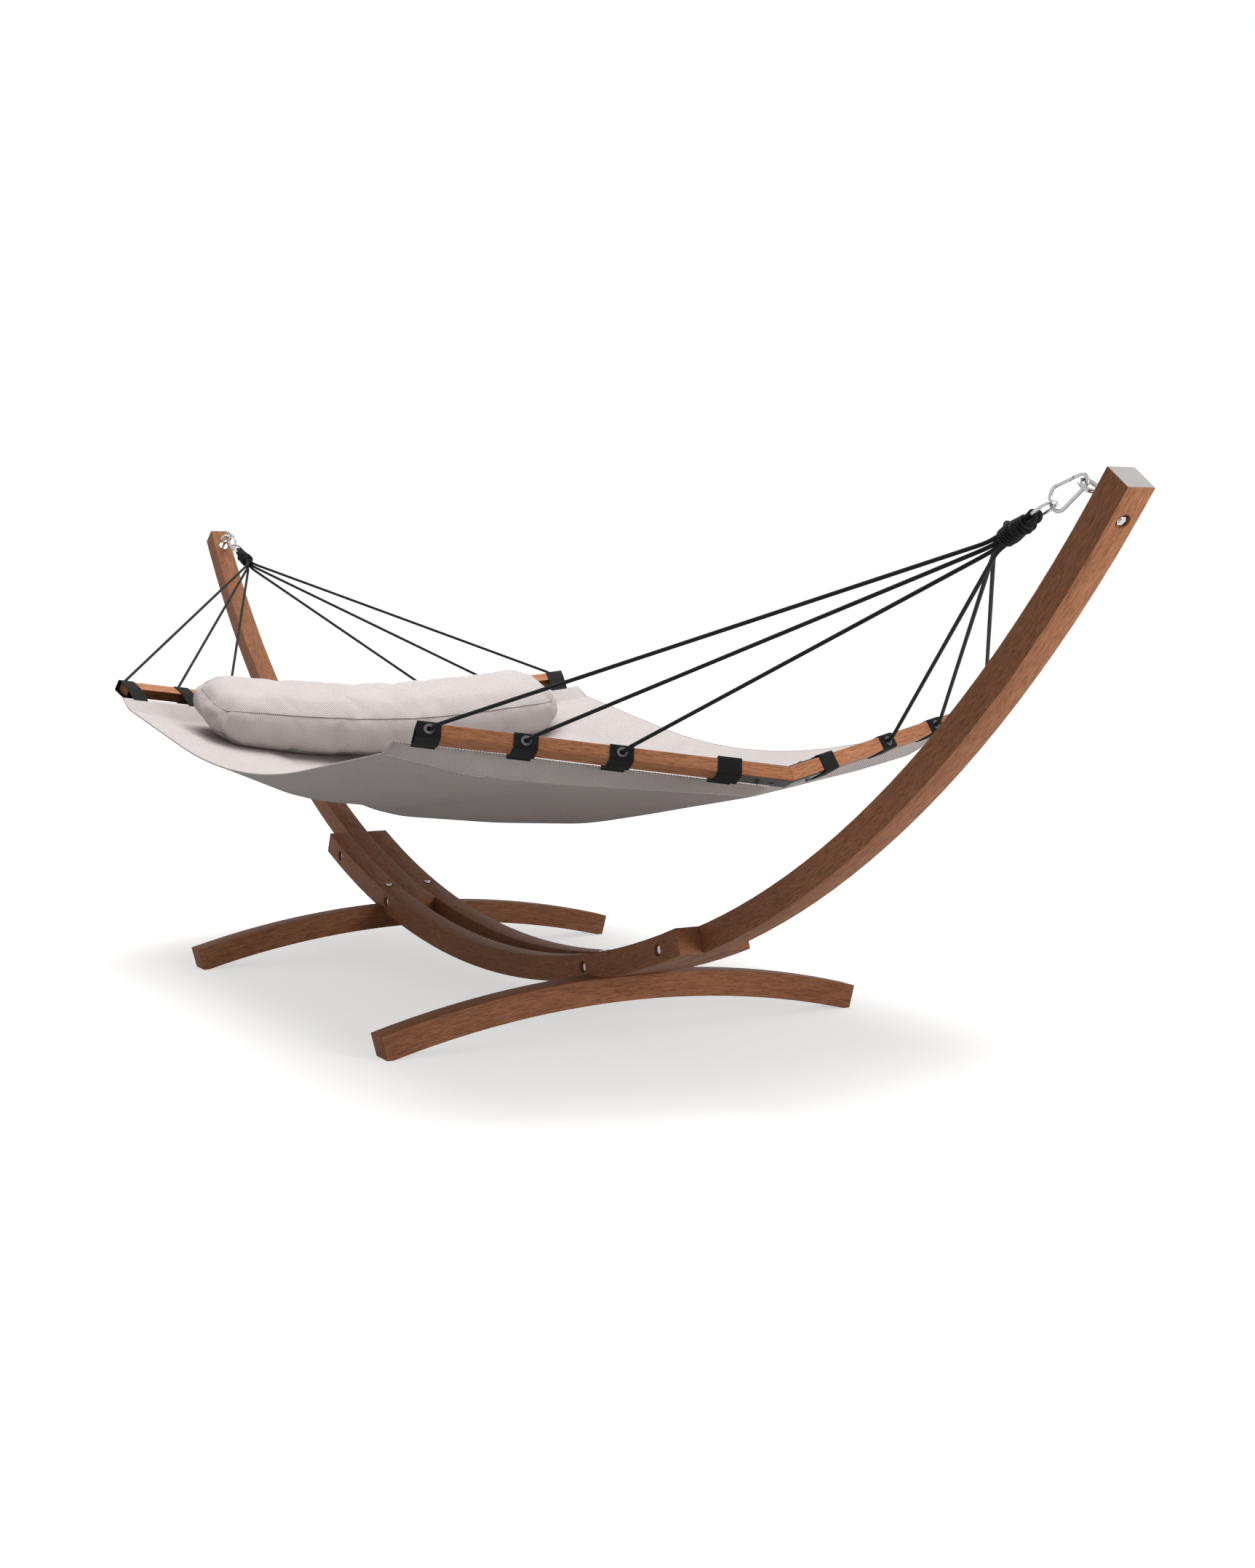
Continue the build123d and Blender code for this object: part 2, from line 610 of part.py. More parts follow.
def bar_half():
    """Timber half of a spreader bar with its rope holes and the plate bolt's hole."""
    timber = block(-BAR_WIDTH, 0, -BAR_WIDTH, BAR_LENGTH, -BAR_THICKNESS, 0)
    for place in rope_places():
        middle = Pos(0, place, -BAR_THICKNESS / 2)
        timber -= middle * x_rod(BAR_HOLE / 2, -WIDE, WIDE)
        timber -= middle * x_rod(BAR_RECESS / 2, -WIDE, BAR_RECESS_DEPTH - BAR_WIDTH)
    bolt_hole = rod(PLATE_BOLT / 2 + PLATE_BOLT_PLAY, -WIDE, WIDE)
    timber -= Pos(-BAR_WIDTH / 2, PLATE_BOLT_AT, 0) * bolt_hole
    return mitred(timber)


def apex_plate(low):
    """V shaped steel plate over the mitre, from one height in the bar's frame."""
    side = (BAR_WIDTH - PLATE_WIDTH) / 2
    leg = block(-BAR_WIDTH + side, -side, -BAR_WIDTH, PLATE_REACH, low, low + PLATE_THICKNESS)
    leg -= Pos(-BAR_WIDTH / 2, PLATE_BOLT_AT, 0) * rod(PLATE_BOLT / 2 + PLATE_BOLT_PLAY, -WIDE, WIDE)
    slot = extrude(SlotOverall(PLATE_SLOT_LENGTH, PLATE_SLOT_WIDTH, rotation=90), amount=WIDE, both=True)
    leg -= Pos(-BAR_WIDTH / 2, PLATE_SLOT_AT, 0) * slot
    right, left = both_sides(mitred(leg))
    return right + left


def plate_bolt():
    """Domed bolt through both plates and the bar."""
    length = BAR_THICKNESS + 2 * PLATE_THICKNESS + PLATE_NUT_HEIGHT + PLATE_THREAD_TAIL
    button = button_bolt(PLATE_BOLT, PLATE_HEAD_DIAMETER, PLATE_HEAD_HEIGHT, length)
    return bar_frame() * Pos(-BAR_WIDTH / 2, PLATE_BOLT_AT, PLATE_THICKNESS) * button


def plate_nut():
    """Nut under the lower plate."""
    low = -BAR_THICKNESS - PLATE_THICKNESS - PLATE_NUT_HEIGHT
    middle = Pos(-BAR_WIDTH / 2, PLATE_BOLT_AT, 0)
    return bar_frame() * middle * nut(PLATE_NUT_ACROSS, PLATE_BOLT, low, PLATE_NUT_HEIGHT)


def strap(place):
    """Webbing loop round the bar that runs on to the bed's hem."""
    pad = STRAP_PLAY + (PLATE_THICKNESS if place < PLATE_REACH else 0)
    tip = HEM_GAP - HEM_SETBACK

    def loop(grow, tail_end, tail_half):
        ends = [(tail_end, -HEM_BELOW - tail_half), (tail_end, -HEM_BELOW + tail_half)]
        if not tail_half:
            ends = ends[:1]
        side, over = STRAP_PLAY + grow, pad + grow
        corners = [(-BAR_WIDTH - side, over), (side, over), (side, -BAR_THICKNESS - over),
                   (-BAR_WIDTH - side, -BAR_THICKNESS - over)]
        points = [Vector(x, 0, z) for x, z in ends + corners]
        return extrude(make_face(Polyline(points, close=True)), amount=STRAP_WIDTH, dir=(0, 1, 0))

    band = loop(STRAP_THICKNESS, tip, TAIL_THICKNESS / 2) - loop(0, tip + TAIL_CLOSE, 0)
    band = Pos(0, place - STRAP_WIDTH / 2, 0) * band
    if place in rope_places():
        barrel_hole = x_rod(EYELET_BARREL / 2 + EYELET_PLAY, 0, BAR_WIDTH)
        band -= Pos(0, place, -BAR_THICKNESS / 2) * barrel_hole
    return bar_frame() * band


def eyelet(place):
    """Flanged metal ring in a strap."""
    low, face = STRAP_PLAY + EYELET_PLAY, STRAP_PLAY + STRAP_THICKNESS + EYELET_PLAY
    ring = x_rod(EYELET_BARREL / 2, low, face + EYELET_FLANGE_THICKNESS)
    ring += x_rod(EYELET_FLANGE / 2, face, face + EYELET_FLANGE_THICKNESS)
    ring -= x_rod(EYELET_BORE / 2, -WIDE, WIDE)
    return bar_frame() * Pos(0, place, -BAR_THICKNESS / 2) * ring


def rope_stopper(place):
    """Knot at a rope's end, in the recess on the bar's inner side."""
    high = BAR_RECESS_DEPTH - BAR_WIDTH - STOPPER_PLAY
    knot = x_rod(STOPPER_DIAMETER / 2, high - STOPPER_HEIGHT, high)
    knot = fillet(knot.edges().filter_by(GeomType.CIRCLE), STOPPER_EDGE)
    return bar_frame() * Pos(0, place, -BAR_THICKNESS / 2) * knot


def rope(row, place):
    """Rope from the bundle's mouth through an eyelet and the bar to its stopper."""
    pull, bar = pull_frame(), bar_frame()
    side, rise = ROPE_SIDE_OFFSET, (1 - row) * ROPE_ROW_PITCH
    middle = -BAR_THICKNESS / 2
    turn_x = STRAP_PLAY + STRAP_THICKNESS + EYELET_FLANGE_THICKNESS + ROPE_CORNER
    points = [spot(pull, MOUTH, rise, side), spot(pull, MOUTH + ROPE_FIRST_RUN, rise, side),
              spot(bar, turn_x, place, middle),
              spot(bar, BAR_RECESS_DEPTH - BAR_WIDTH - STOPPER_PLAY, place, middle)]
    turn = (points[1] - points[0]).get_angle(points[2] - points[1])
    first_radius = ROPE_RUN_SHARE * ROPE_FIRST_RUN / tan(radians(turn) / 2)
    path = FilletPolyline(points, radius=[first_radius, ROPE_CORNER_RADIUS])
    print("rope", row, "length", round(path.length, 1), "radii", round(first_radius, 1), ROPE_CORNER_RADIUS)
    return tube(path, ROPE_DIAMETER / 2)


# Cloth bed

def hem_edge(y):
    """Point of the bed's end edge at the toe end, on its top."""
    frame = bar_frame()
    corner = spot(frame, -HEM_SETBACK, 0, -HEM_BELOW)
    way = frame.y_dir
    point = corner + way * ((abs(y) - corner.Y) / way.Y)
    return Vector(point.X, y, point.Z + CLOTH_THICKNESS / 2)


def bed_half_width():
    """Middle of the bed to its side edge."""
    return spot(bar_frame(), 0, BAR_LENGTH, 0).Y + BED_OVERHANG


def bed_stations():
    """Rows across the bed: distance out, sag in the middle and drop of the hem."""
    side = bed_half_width()
    outs = (0, CENTRE_PANEL, INNER_FOLD, OUTER_FOLD, (OUTER_FOLD + side) / 2, side)
    sags = (BED_SAG, CENTRE_PANEL_SAG, INNER_FOLD_SAG, OUTER_FOLD_SAG, SIDE_PANEL_SAG, SIDE_EDGE_SAG)
    return list(zip(outs, sags, HEM_DROPS))


def bed_row(y, sag, hem_drop):
    """Points of the bed's top along one row: hem edge, stitch line, end of the curve, middle."""
    edge = hem_edge(y)
    stitch = (edge.X - HEM_WIDTH, edge.Z - hem_drop)
    low = bar_frame().origin.Z - sag
    curved = BED_CURVE_SHARE * stitch[0]
    straight = stitch[0] - curved
    fall = stitch[1] - low
    half_turn = 0.0               # tangent of half the slope's angle, settled step by step
    for _ in range(BED_SETTLING):
        bent = 1 - half_turn ** 2
        half_turn = fall * bent / (curved * bent + 2 * straight)
    return [(edge.X, edge.Z), stitch, (curved, low + curved * half_turn), (0.0, low)]


def bed_height(x, y):
    """Top of the bed over one place in plan."""
    stations = bed_stations()
    for (low_y, *low_row), (high_y, *high_row) in zip(stations, stations[1:]):
        if abs(y) <= high_y:
            share = (abs(y) - low_y) / (high_y - low_y)
            heights = [row_height(bed_row(out, *row), abs(x))
                       for out, row in ((low_y, low_row), (high_y, high_row))]
            return heights[0] + share * (heights[1] - heights[0])
    return row_height(bed_row(*stations[-1]), abs(x))


def row_height(row, x):
    """Height of one row of the bed at a distance from its middle."""
    edge, stitch, tangent, middle = row
    if x > stitch[0]:
        return stitch[1] + (x - stitch[0]) * (edge[1] - stitch[1]) / (edge[0] - stitch[0])
    if x > tangent[0]:
        return tangent[1] + (x - tangent[0]) * (stitch[1] - tangent[1]) / (stitch[0] - tangent[0])
    radius = (tangent[0] ** 2 + (tangent[1] - middle[1]) ** 2) / (2 * (tangent[1] - middle[1]))
    return middle[1] + radius - sqrt(radius ** 2 - x ** 2)


def bed_section(y, sag, hem_drop):
    """Closed outline of the cloth along one row."""
    row = bed_row(y, sag, hem_drop)

    def path(drop):
        right = [Vector(x, y, z - drop) for x, z in row]
        left = [Vector(-x, y, z - drop) for x, z in row]
        return [Line(right[0], right[1]), Line(right[1], right[2]),
                ThreePointArc(right[2], right[3], left[2]),
                Line(left[2], left[1]), Line(left[1], left[0])]

    top, under = path(0), path(CLOTH_THICKNESS)
    return Wire(top + [Line(top[-1] @ 1, under[-1] @ 1)] + under + [Line(under[0] @ 0, top[0] @ 0)])


def bed():
    """Cloth bed: a flat centre, a fold each side and raised side panels."""
    rows = bed_stations()
    rows = [(-out, *row) for out, *row in reversed(rows[1:])] + rows
    return Solid.make_loft([bed_section(*row) for row in rows], ruled=True)


# Pillow

def pillow_rows():
    """Cross-sections of the pillow, from one end to the other: y, width, height and bend."""
    half = [(share * PILLOW_HALF_LENGTH, width, height) for share, width, height in PILLOW_SHAPE]
    rows = [(-y, width, height) for y, width, height in reversed(half[1:])] + half
    return [(y, width * PILLOW_WIDTH, height * PILLOW_HEIGHT, PILLOW_BEND * (y / PILLOW_HALF_LENGTH) ** 2)
            for y, width, height in rows]


def pillow_base(width, bend):
    """Front and back corners of a pillow section's underside, before it is seated."""
    lean = radians(PILLOW_TILT)
    half = width / 2
    middle = PILLOW_SETBACK - bar_frame().origin.X
    front = Vector(middle + half * cos(lean), bend - half * sin(lean))
    back = Vector(middle - half * cos(lean), bend + half * sin(lean))
    return front, back


def pillow_seat():
    """Height that brings the pillow's underside over every row of the bed."""
    lifts = []
    for y, width, _, bend in pillow_rows():
        front, back = pillow_base(width, bend)
        for place in range(PILLOW_PLACES):
            under = front + (back - front) * (place / (PILLOW_PLACES - 1))
            lifts.append(bed_height(under.X, y) - under.Y)
    return max(lifts) + PILLOW_FREE


def pillow_section(y, width, height, bend, seat):
    """Closed outline of the pillow across its length."""
    lean = radians(PILLOW_TILT)
    along_way = Vector(-cos(lean), sin(lean))
    up = Vector(sin(lean), cos(lean))
    front, back = [corner + Vector(0, seat) for corner in pillow_base(width, bend)]
    fullness = height / PILLOW_HEIGHT
    inset = along_way * (PILLOW_DRAW * fullness)
    bulge = PILLOW_BULGE * fullness
    crown = PILLOW_CROWN * fullness
    front_low, back_low = front + inset, back - inset
    front_high, back_high = front_low + up * height, back_low + up * height

    def lift(point):
        return Vector(point.X, y, point.Y)

    corners = [lift(point) for point in (front_low, back_low, back_high, front_high)]
    back_mid = lift((back_low + back_high) / 2 + along_way * bulge)
    top_mid = lift((back_high + front_high) / 2 + up * crown)
    front_mid = lift((front_high + front_low) / 2 - along_way * bulge)
    return Wire([Line(corners[0], corners[1]), ThreePointArc(corners[1], back_mid, corners[2]),
                 ThreePointArc(corners[2], top_mid, corners[3]),
                 ThreePointArc(corners[3], front_mid, corners[0])])


def pillow():
    """Long boxed pillow that bridges the bed near the head end."""
    seat = pillow_seat()
    return Solid.make_loft([pillow_section(*row, seat) for row in pillow_rows()], ruled=False)


def let_down(high, support):
    """Lower a solid until it lies just clear of what carries it."""
    return Pos(0, 0, PILLOW_GAP - high.distance_to(support)) * high


# Hammock

def hammock_pieces():
    """Everything that swings on the two eyes."""
    pull = pull_frame()
    pieces = {}

    def ends(name, shape):
        pieces["toe_" + name], pieces["head_" + name] = toe_and_head(shape)

    ends("snap_hook", pull * snap_hook())
    ends("gate", pull * gate())
    ends("gate_pin", pull * gate_pin())
    ends("oval_link", pull * oval_link())
    ends("rope_bundle", pull * rope_bundle())
    ends("lashing", pull * lashing())
    halves = both_sides(bar_half())
    right_ropes = [rope(row, place) for row, place in enumerate(rope_places())]
    left_ropes = [mirror(each, about=Plane.XZ) for each in right_ropes]
    groups = (("bar_right", halves[0]), ("bar_left", halves[1]),
              ("ropes_right", right_ropes), ("ropes_left", left_ropes),
              ("bar_plate_top", apex_plate(0)),
              ("bar_plate_under", apex_plate(-BAR_THICKNESS - PLATE_THICKNESS)),
              ("plate_bolts", both_sides(plate_bolt())), ("plate_nuts", both_sides(plate_nut())),
              ("straps", [side for place in strap_places() for side in both_sides(strap(place))]),
              ("eyelets", [side for place in rope_places() for side in both_sides(eyelet(place))]),
              ("rope_stoppers",
               [side for place in rope_places() for side in both_sides(rope_stopper(place))]))
    for name, made in groups:
        solids = list(made) if isinstance(made, (list, tuple)) else [made]
        ends(name, Compound(solids))
    pieces["bed_cloth"] = bed()
    pieces["pillow"] = let_down(pillow(), pieces["bed_cloth"])
    return pieces


def main():
    """Write one STEP file for each piece."""
    os.makedirs("parts", exist_ok=True)
    pieces = stand_pieces()
    pieces.update(hammock_pieces())
    for name, made in pieces.items():
        shape = Compound(list(made)) if isinstance(made, (list, tuple)) else made
        export_step(shape, "parts/" + name + ".step")
    swing = pull_frame().origin
    pin = spot(pull_frame(), *gate_frame().origin)
    print("nodes", len(pieces), "swing axis z", round(swing.Z, 3), "x", round(swing.X, 3))
    print("toe gate pin", [round(value, 3) for value in pin])


main()
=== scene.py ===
import json
from math import ceil, cos, pi, radians, sin, sqrt, tan

import bmesh
import bpy
from mathutils import Matrix, Vector, noise


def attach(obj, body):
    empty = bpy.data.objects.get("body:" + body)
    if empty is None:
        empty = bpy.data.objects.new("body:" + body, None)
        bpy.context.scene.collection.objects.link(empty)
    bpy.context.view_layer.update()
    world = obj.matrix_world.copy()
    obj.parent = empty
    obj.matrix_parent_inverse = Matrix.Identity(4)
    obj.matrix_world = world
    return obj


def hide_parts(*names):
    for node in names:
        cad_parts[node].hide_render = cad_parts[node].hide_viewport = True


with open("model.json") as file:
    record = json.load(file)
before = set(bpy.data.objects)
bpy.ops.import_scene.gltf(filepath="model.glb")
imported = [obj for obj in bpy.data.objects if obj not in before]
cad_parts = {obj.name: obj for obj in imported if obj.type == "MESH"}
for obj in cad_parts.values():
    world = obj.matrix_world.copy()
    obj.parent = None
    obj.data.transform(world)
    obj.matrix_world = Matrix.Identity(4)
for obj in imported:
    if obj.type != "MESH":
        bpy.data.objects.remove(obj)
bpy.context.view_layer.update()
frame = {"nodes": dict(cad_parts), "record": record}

# Metres throughout. The stand runs along X, the toe end is +X, and the pillow lies near the other end.
# Every end piece is drawn for the toe end's +Y half and mirrored.

# Stand
ARC_CENTRE_Z = 2.84           # of the circle that rails and arms follow
ARC_MIDDLE_RADIUS = 2.75
ARM_END_ANGLE = 53.5          # degrees from straight down
FOOT_CENTRE_Z = -2.3664       # of the circle that the feet follow
FOOT_MIDDLE_RADIUS = 2.43
EDGE_ROUNDING = 0.0018        # on all timber

# Line of pull from the eye to the rope bundle
EYE_TIP = Vector((2.10133, 0.0, 1.20416))
PULL_SLOPE = radians(25.35)
LINK_FAR = 0.1300             # far end of the oval link, along the pull
LINK_WIRE = 0.006
LASHING_START = 0.017         # from the link's far end
LASHING_PITCH = 0.0073
LASHING_TURNS = 9
LASHING_CORD = 0.0065
LASHING_RADII = ((0.0, 0.0115), (0.020, 0.0135), (0.044, 0.0165), (0.068, 0.0146))
MOUTH_RUN = 0.013
METAL_GAP = 0.0005
LOOP_CORD = 0.0092            # two turns of it go round the link
LOOP_WRAP = 115               # degrees each way from the link's far end
LOOP_APART = 0.0049           # each turn from the middle
LEG_APART = 0.0050
HITCH_START = 0.22            # of a turn, and more at each later hitch
HITCH_ADVANCE = 0.11
HITCH_SPAN = 0.30
HITCH_SWELL = 0.0044
HITCH_SHARE = 0.92            # of the lashing cord's diameter
KNOT_RELIEF = 0.07            # of the braid, as a share of a knotted cord's radius

# Ropes
ROPE_DIAMETER = 0.008
ROPE_SIDE_OFFSET = 0.0052
ROPE_ROW_PITCH = 0.009
ROPE_FIRST_RUN = 0.020
ROPE_CORNER = 0.0115          # bar face to where a rope turns into the bar
ROPE_LENGTHS = (1.2006, 1.0592, 0.9372)
STRAIGHT_FROM = 0.048         # of a tight rope, from its turn
STOPPER_CORD = 0.0064
STOPPER_REACH = 0.00178       # a third of the overhand knot's radius
STOPPER_DEPTH = 0.0020
CORD_STEP = 0.0018            # between the rings of a cord's mesh

# Spreader bars
BAR_REACH = 0.8332
BAR_DROP = 0.5374
BAR_LENGTH = 0.750
BAR_WIDTH = 0.042
BAR_THICKNESS = 0.029
BAR_SWEEP = radians(19.8)
BAR_RISE = 0.1395
BAR_TILT = radians(23.8)
BAR_RECESS_DEPTH = 0.014
STOPPER_PLAY = 0.0002
STOPPER_HEIGHT = 0.011
PLATE_THICKNESS = 0.003
PLATE_REACH = 0.150

# Webbing
STRAP_WIDTH = 0.049
STRAP_THICKNESS = 0.002
STRAP_PLAY = 0.0005
STRAP_PITCH = 0.1943
STRAP_SETBACK = 0.0134
INNER_STRAP_AT = 0.1253
STRAP_LAP = 0.004             # over the hem that it is sewn to
EYELET_HOLE = 0.0062
STRAP_BEND = 0.003
STRAP_TAIL = 0.004            # from the bed's edge to where the strap's two layers part
STRAP_SEAM_GAP = 0.0003       # strap to cloth
WEBBING_CELL = 0.003
WEBBING_COLUMNS = 14

# Cloth bed
HEM_SETBACK = 0.088
HEM_BELOW = 0.012
HEM_WIDTH = 0.055
BED_OVERHANG = 0.0245
BED_THICKNESS = 0.0026
FOLDS = (0.0, 0.138, 0.330, 0.385)
SAGS = (0.2267, 0.219, 0.199, 0.172, 0.146, 0.077)
HEM_DROPS = (0.024, 0.033, 0.044, 0.047, 0.052, 0.028)
CURVE_SHARE = 0.5
FOLD_ROUNDING = 0.004
BED_CELL = 0.012
EDGE_RISE = 0.0015            # of the cloth's top over its middle, at the hem
CURVE_STEPS = 32
ROWS_PER_HALF = 106
RIPPLE_ACROSS = 0.0022        # height of the cloth's long waves
RIPPLE_ALONG = 0.0010
BINDING_DIAMETER = 0.0046
STITCH_PITCH = 0.0052
STITCH_SHARE = 0.66           # of the pitch, that its thread covers
STITCH_THICKNESS = 0.0016
STITCH_LIFT = 0.0001
OVERSEWING = 0.005            # from the edge down each face
OVERSEWING_LIFT = 0.0002
SEAM_AT = 0.96                # of the hem's width
BED_FLAT = (1.511, 2.566)

# Pillow
PILLOW_X = -0.800
PILLOW_SIZE = (0.268, 1.066, 0.122)
PILLOW_TILT = radians(20.0)
PILLOW_BEND = 0.046
PILLOW_CELL = 0.014
PILLOW_CORNER = 0.095         # corners of its top and bottom panels, in plan
PILLOW_ROUNDING = 0.030       # along its seams
PILLOW_CLEAR = 0.0015
SIDE_BULGE = 0.008
TOP_CROWN = 0.012
LOW_CROWN = 0.004
END_DROP = 0.020
CREASE_HEIGHT = 0.0026
PUFF_LIMIT = 0.012            # furthest that the air moves a point
PUFF_FRAMES = 18
WELT_DIAMETER = 0.0024

# Camera, as the photograph was taken
CAMERA_PLACE = Vector((4.7246, -2.4011, 1.0286))
CAMERA_YAW = 0.4907
CAMERA_PITCH = -0.0881
CAMERA_LENS = 47.62
CAMERA_SHIFT = (0.0505, -0.0088)

BODY = "hammock"


# Frames

def frame_of(origin, x_axis, z_axis):
    """Placing matrix from an origin, an X axis and a Z axis."""
    x_axis, z_axis = Vector(x_axis).normalized(), Vector(z_axis).normalized()
    made = Matrix((x_axis, z_axis.cross(x_axis), z_axis)).transposed().to_4x4()
    made.translation = origin
    return made


def bar_frame():
    """On a bar's apex edge: X to the eye, Y along the +Y half, Z out of its top."""
    way = Vector((-tan(BAR_SWEEP), 1, BAR_RISE)).normalized()
    lean = Vector((cos(BAR_TILT), 0, sin(BAR_TILT)))
    facing = lean - way * lean.dot(way)
    return frame_of(EYE_TIP - Vector((BAR_REACH, 0, BAR_DROP)), facing, facing.cross(way))


PULL = frame_of(EYE_TIP, (-cos(PULL_SLOPE), 0, -sin(PULL_SLOPE)), (0, 1, 0))
BAR = bar_frame()
BAR_WAY = BAR.to_3x3() @ Vector((0, 1, 0))
BED_HALF_WIDTH = (BAR @ Vector((0, BAR_LENGTH, 0))).y + BED_OVERHANG
ENDS = (("toe", 1), ("head", -1))
SIDES = (("right", 1), ("left", -1))
LASHING_A = LINK_FAR + LASHING_START
LASHING_B = LASHING_A + LASHING_TURNS * LASHING_PITCH
MOUTH = LASHING_B + MOUTH_RUN
STRAP_PLACES = [BAR_LENGTH - STRAP_SETBACK - count * STRAP_PITCH for count in range(3)]
STRAP_PLACES.append(INNER_STRAP_AT)


def mirrored(end, side=1):
    """Matrix that takes a toe end, +Y shape to its end and side."""
    return Matrix.Diagonal((end, side, 1, 1))


# Meshes

def add_grid(mesh, columns, rows, place, flat=(1.0, 1.0)):
    """Grid in a bmesh with each corner put where place says, and its flat size in metres as UVs."""
    layer = mesh.loops.layers.uv.verify()
    made = bmesh.ops.create_grid(mesh, x_segments=columns, y_segments=rows, size=0.5, calc_uvs=True)
    corners = made["verts"]
    for face in {face for corner in corners for face in corner.link_faces}:
        for loop in face.loops:
            spot = loop.vert.co
            loop[layer].uv = ((spot.x + 0.5) * flat[0], (spot.y + 0.5) * flat[1])
    for corner in corners:
        corner.co = place(corner.co.x + 0.5, corner.co.y + 0.5)
    return corners


def linked(name, data):
    """Object with its data, in the scene."""
    made = bpy.data.objects.new(name, data)
    bpy.context.scene.collection.objects.link(made)
    return made


def make_piece(name, mesh, finish, nodes=(), body=BODY, closed=True):
    """Object from a bmesh, riding on its body and standing for its CAD nodes."""
    bmesh.ops.remove_doubles(mesh, verts=mesh.verts, dist=1e-5)
    if closed:
        bmesh.ops.recalc_face_normals(mesh, faces=mesh.faces)
    data = bpy.data.meshes.new(name)
    mesh.to_mesh(data)
    mesh.free()
    data.materials.append(finish)
    data.shade_smooth()
    piece = linked(name, data)
    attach(piece, body)
    if nodes:
        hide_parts(*nodes)
    return piece


def lengths_along(points):
    """Distance along a polyline at each of its points."""
    run = [0.0]
    for before, after in zip(points, points[1:]):
        run.append(run[-1] + (after - before).length)
    return run


def evenly(points, count):
    """That many points at even steps along a polyline."""
    run = lengths_along(points)
    made, index = [], 0
    for step in range(count):
        want = run[-1] * step / (count - 1)
        while index < len(points) - 2 and run[index + 1] < want:
            index += 1
        span = run[index + 1] - run[index]
        made.append(points[index].lerp(points[index + 1], (want - run[index]) / span if span else 0))
    return made


def rounded(points, radius, steps=5):
    """Polyline with its inner corners rounded."""
    made = [points[0]]
    for before, corner, after in zip(points, points[1:], points[2:]):
        reach = min(radius, 0.45 * (before - corner).length, 0.45 * (after - corner).length)
        start = corner + (before - corner).normalized() * reach
        end = corner + (after - corner).normalized() * reach
        for step in range(steps + 1):
            share = step / steps
            made.append(start.lerp(corner, share).lerp(corner.lerp(end, share), share))
    made.append(points[-1])
    return made


def turned_frames(points):
    """Side and up directions along a path, carried on without twist."""
    ways = [(b - a).normalized() for a, b in zip(points, points[1:])]
    ways.append(ways[-1])
    side = ways[0].orthogonal().normalized()
    made = []
    for way in ways:
        side = (side - way * side.dot(way)).normalized()
        made.append((side, way.cross(side)))
    return made


def add_cord(mesh, points, diameter, sides=16, step=CORD_STEP, relief=0.06, lobes=4, placing=None):
    """Braided cord along a path: staggered strand bumps on a tube with closed ends."""
    length = lengths_along(points)[-1]
    rings = max(4, ceil(length / step))
    centres = evenly(points, rings + 1)
    frames = turned_frames(centres)
    radius = diameter / 2
    pitch = pi * diameter / lobes

    def place(along, around):
        ring = round(along * rings)
        angle = 2 * pi * around
        bump = 1 + relief * cos(lobes * angle) * cos(2 * pi * along * length / pitch)
        swell = 0.0 if ring in (0, rings) else radius * bump
        side, up = frames[ring]
        spot = centres[ring] + (side * cos(angle) + up * sin(angle)) * swell
        return placing @ spot if placing else spot

    add_grid(mesh, rings, sides, place, (length, pi * diameter))


def route(points):
    """Points of the smooth NURBS line that a route's points control."""
    curve = bpy.data.curves.new("route", "CURVE")
    curve.dimensions = "3D"
    curve.resolution_u = 16
    spline = curve.splines.new("NURBS")
    spline.points.add(len(points) - 1)
    for knot, point in zip(spline.points, points):
        knot.co = (*point, 1)
    spline.order_u = 3
    spline.use_endpoint_u = True
    holder = bpy.data.objects.new("route", curve)
    line = bpy.data.meshes.new_from_object(holder)
    made = [vertex.co.copy() for vertex in line.vertices]
    bpy.data.objects.remove(holder)
    bpy.data.curves.remove(curve)
    bpy.data.meshes.remove(line)
    return made


# Shader maths

class Value:
    """A number socket: an expression on it adds Math nodes."""

    def __init__(self, nodes, socket):
        self.nodes = nodes
        self.socket = socket

    def math(self, operation, *others):
        inputs = {0: self, **dict(enumerate(others, 1))}
        return self.nodes.number("ShaderNodeMath", {"operation": operation}, inputs)

    def __add__(self, other):
        return self.math("ADD", other)

    def __radd__(self, other):
        return self.math("ADD", other)

    def __sub__(self, other):
        return self.math("SUBTRACT", other)

    def __rsub__(self, other):
        return (self * -1) + other

    def __mul__(self, other):
        return self.math("MULTIPLY", other)

    def __rmul__(self, other):
        return self.math("MULTIPLY", other)

    def __truediv__(self, other):
        return self.math("DIVIDE", other)

    def __lt__(self, other):
        return self.math("LESS_THAN", other)

    def __gt__(self, other):
        return self.math("GREATER_THAN", other)

    def __mod__(self, other):
        return self.math("FLOORED_MODULO", other)

    def __abs__(self):
        return self.math("ABSOLUTE")

    def floor(self):
        return self.math("FLOOR")

    def root(self):
        return self.math("SQRT")

    def sine(self):
        return self.math("SINE")

    def angle_over(self, other):
        return self.math("ARCTAN2", other)


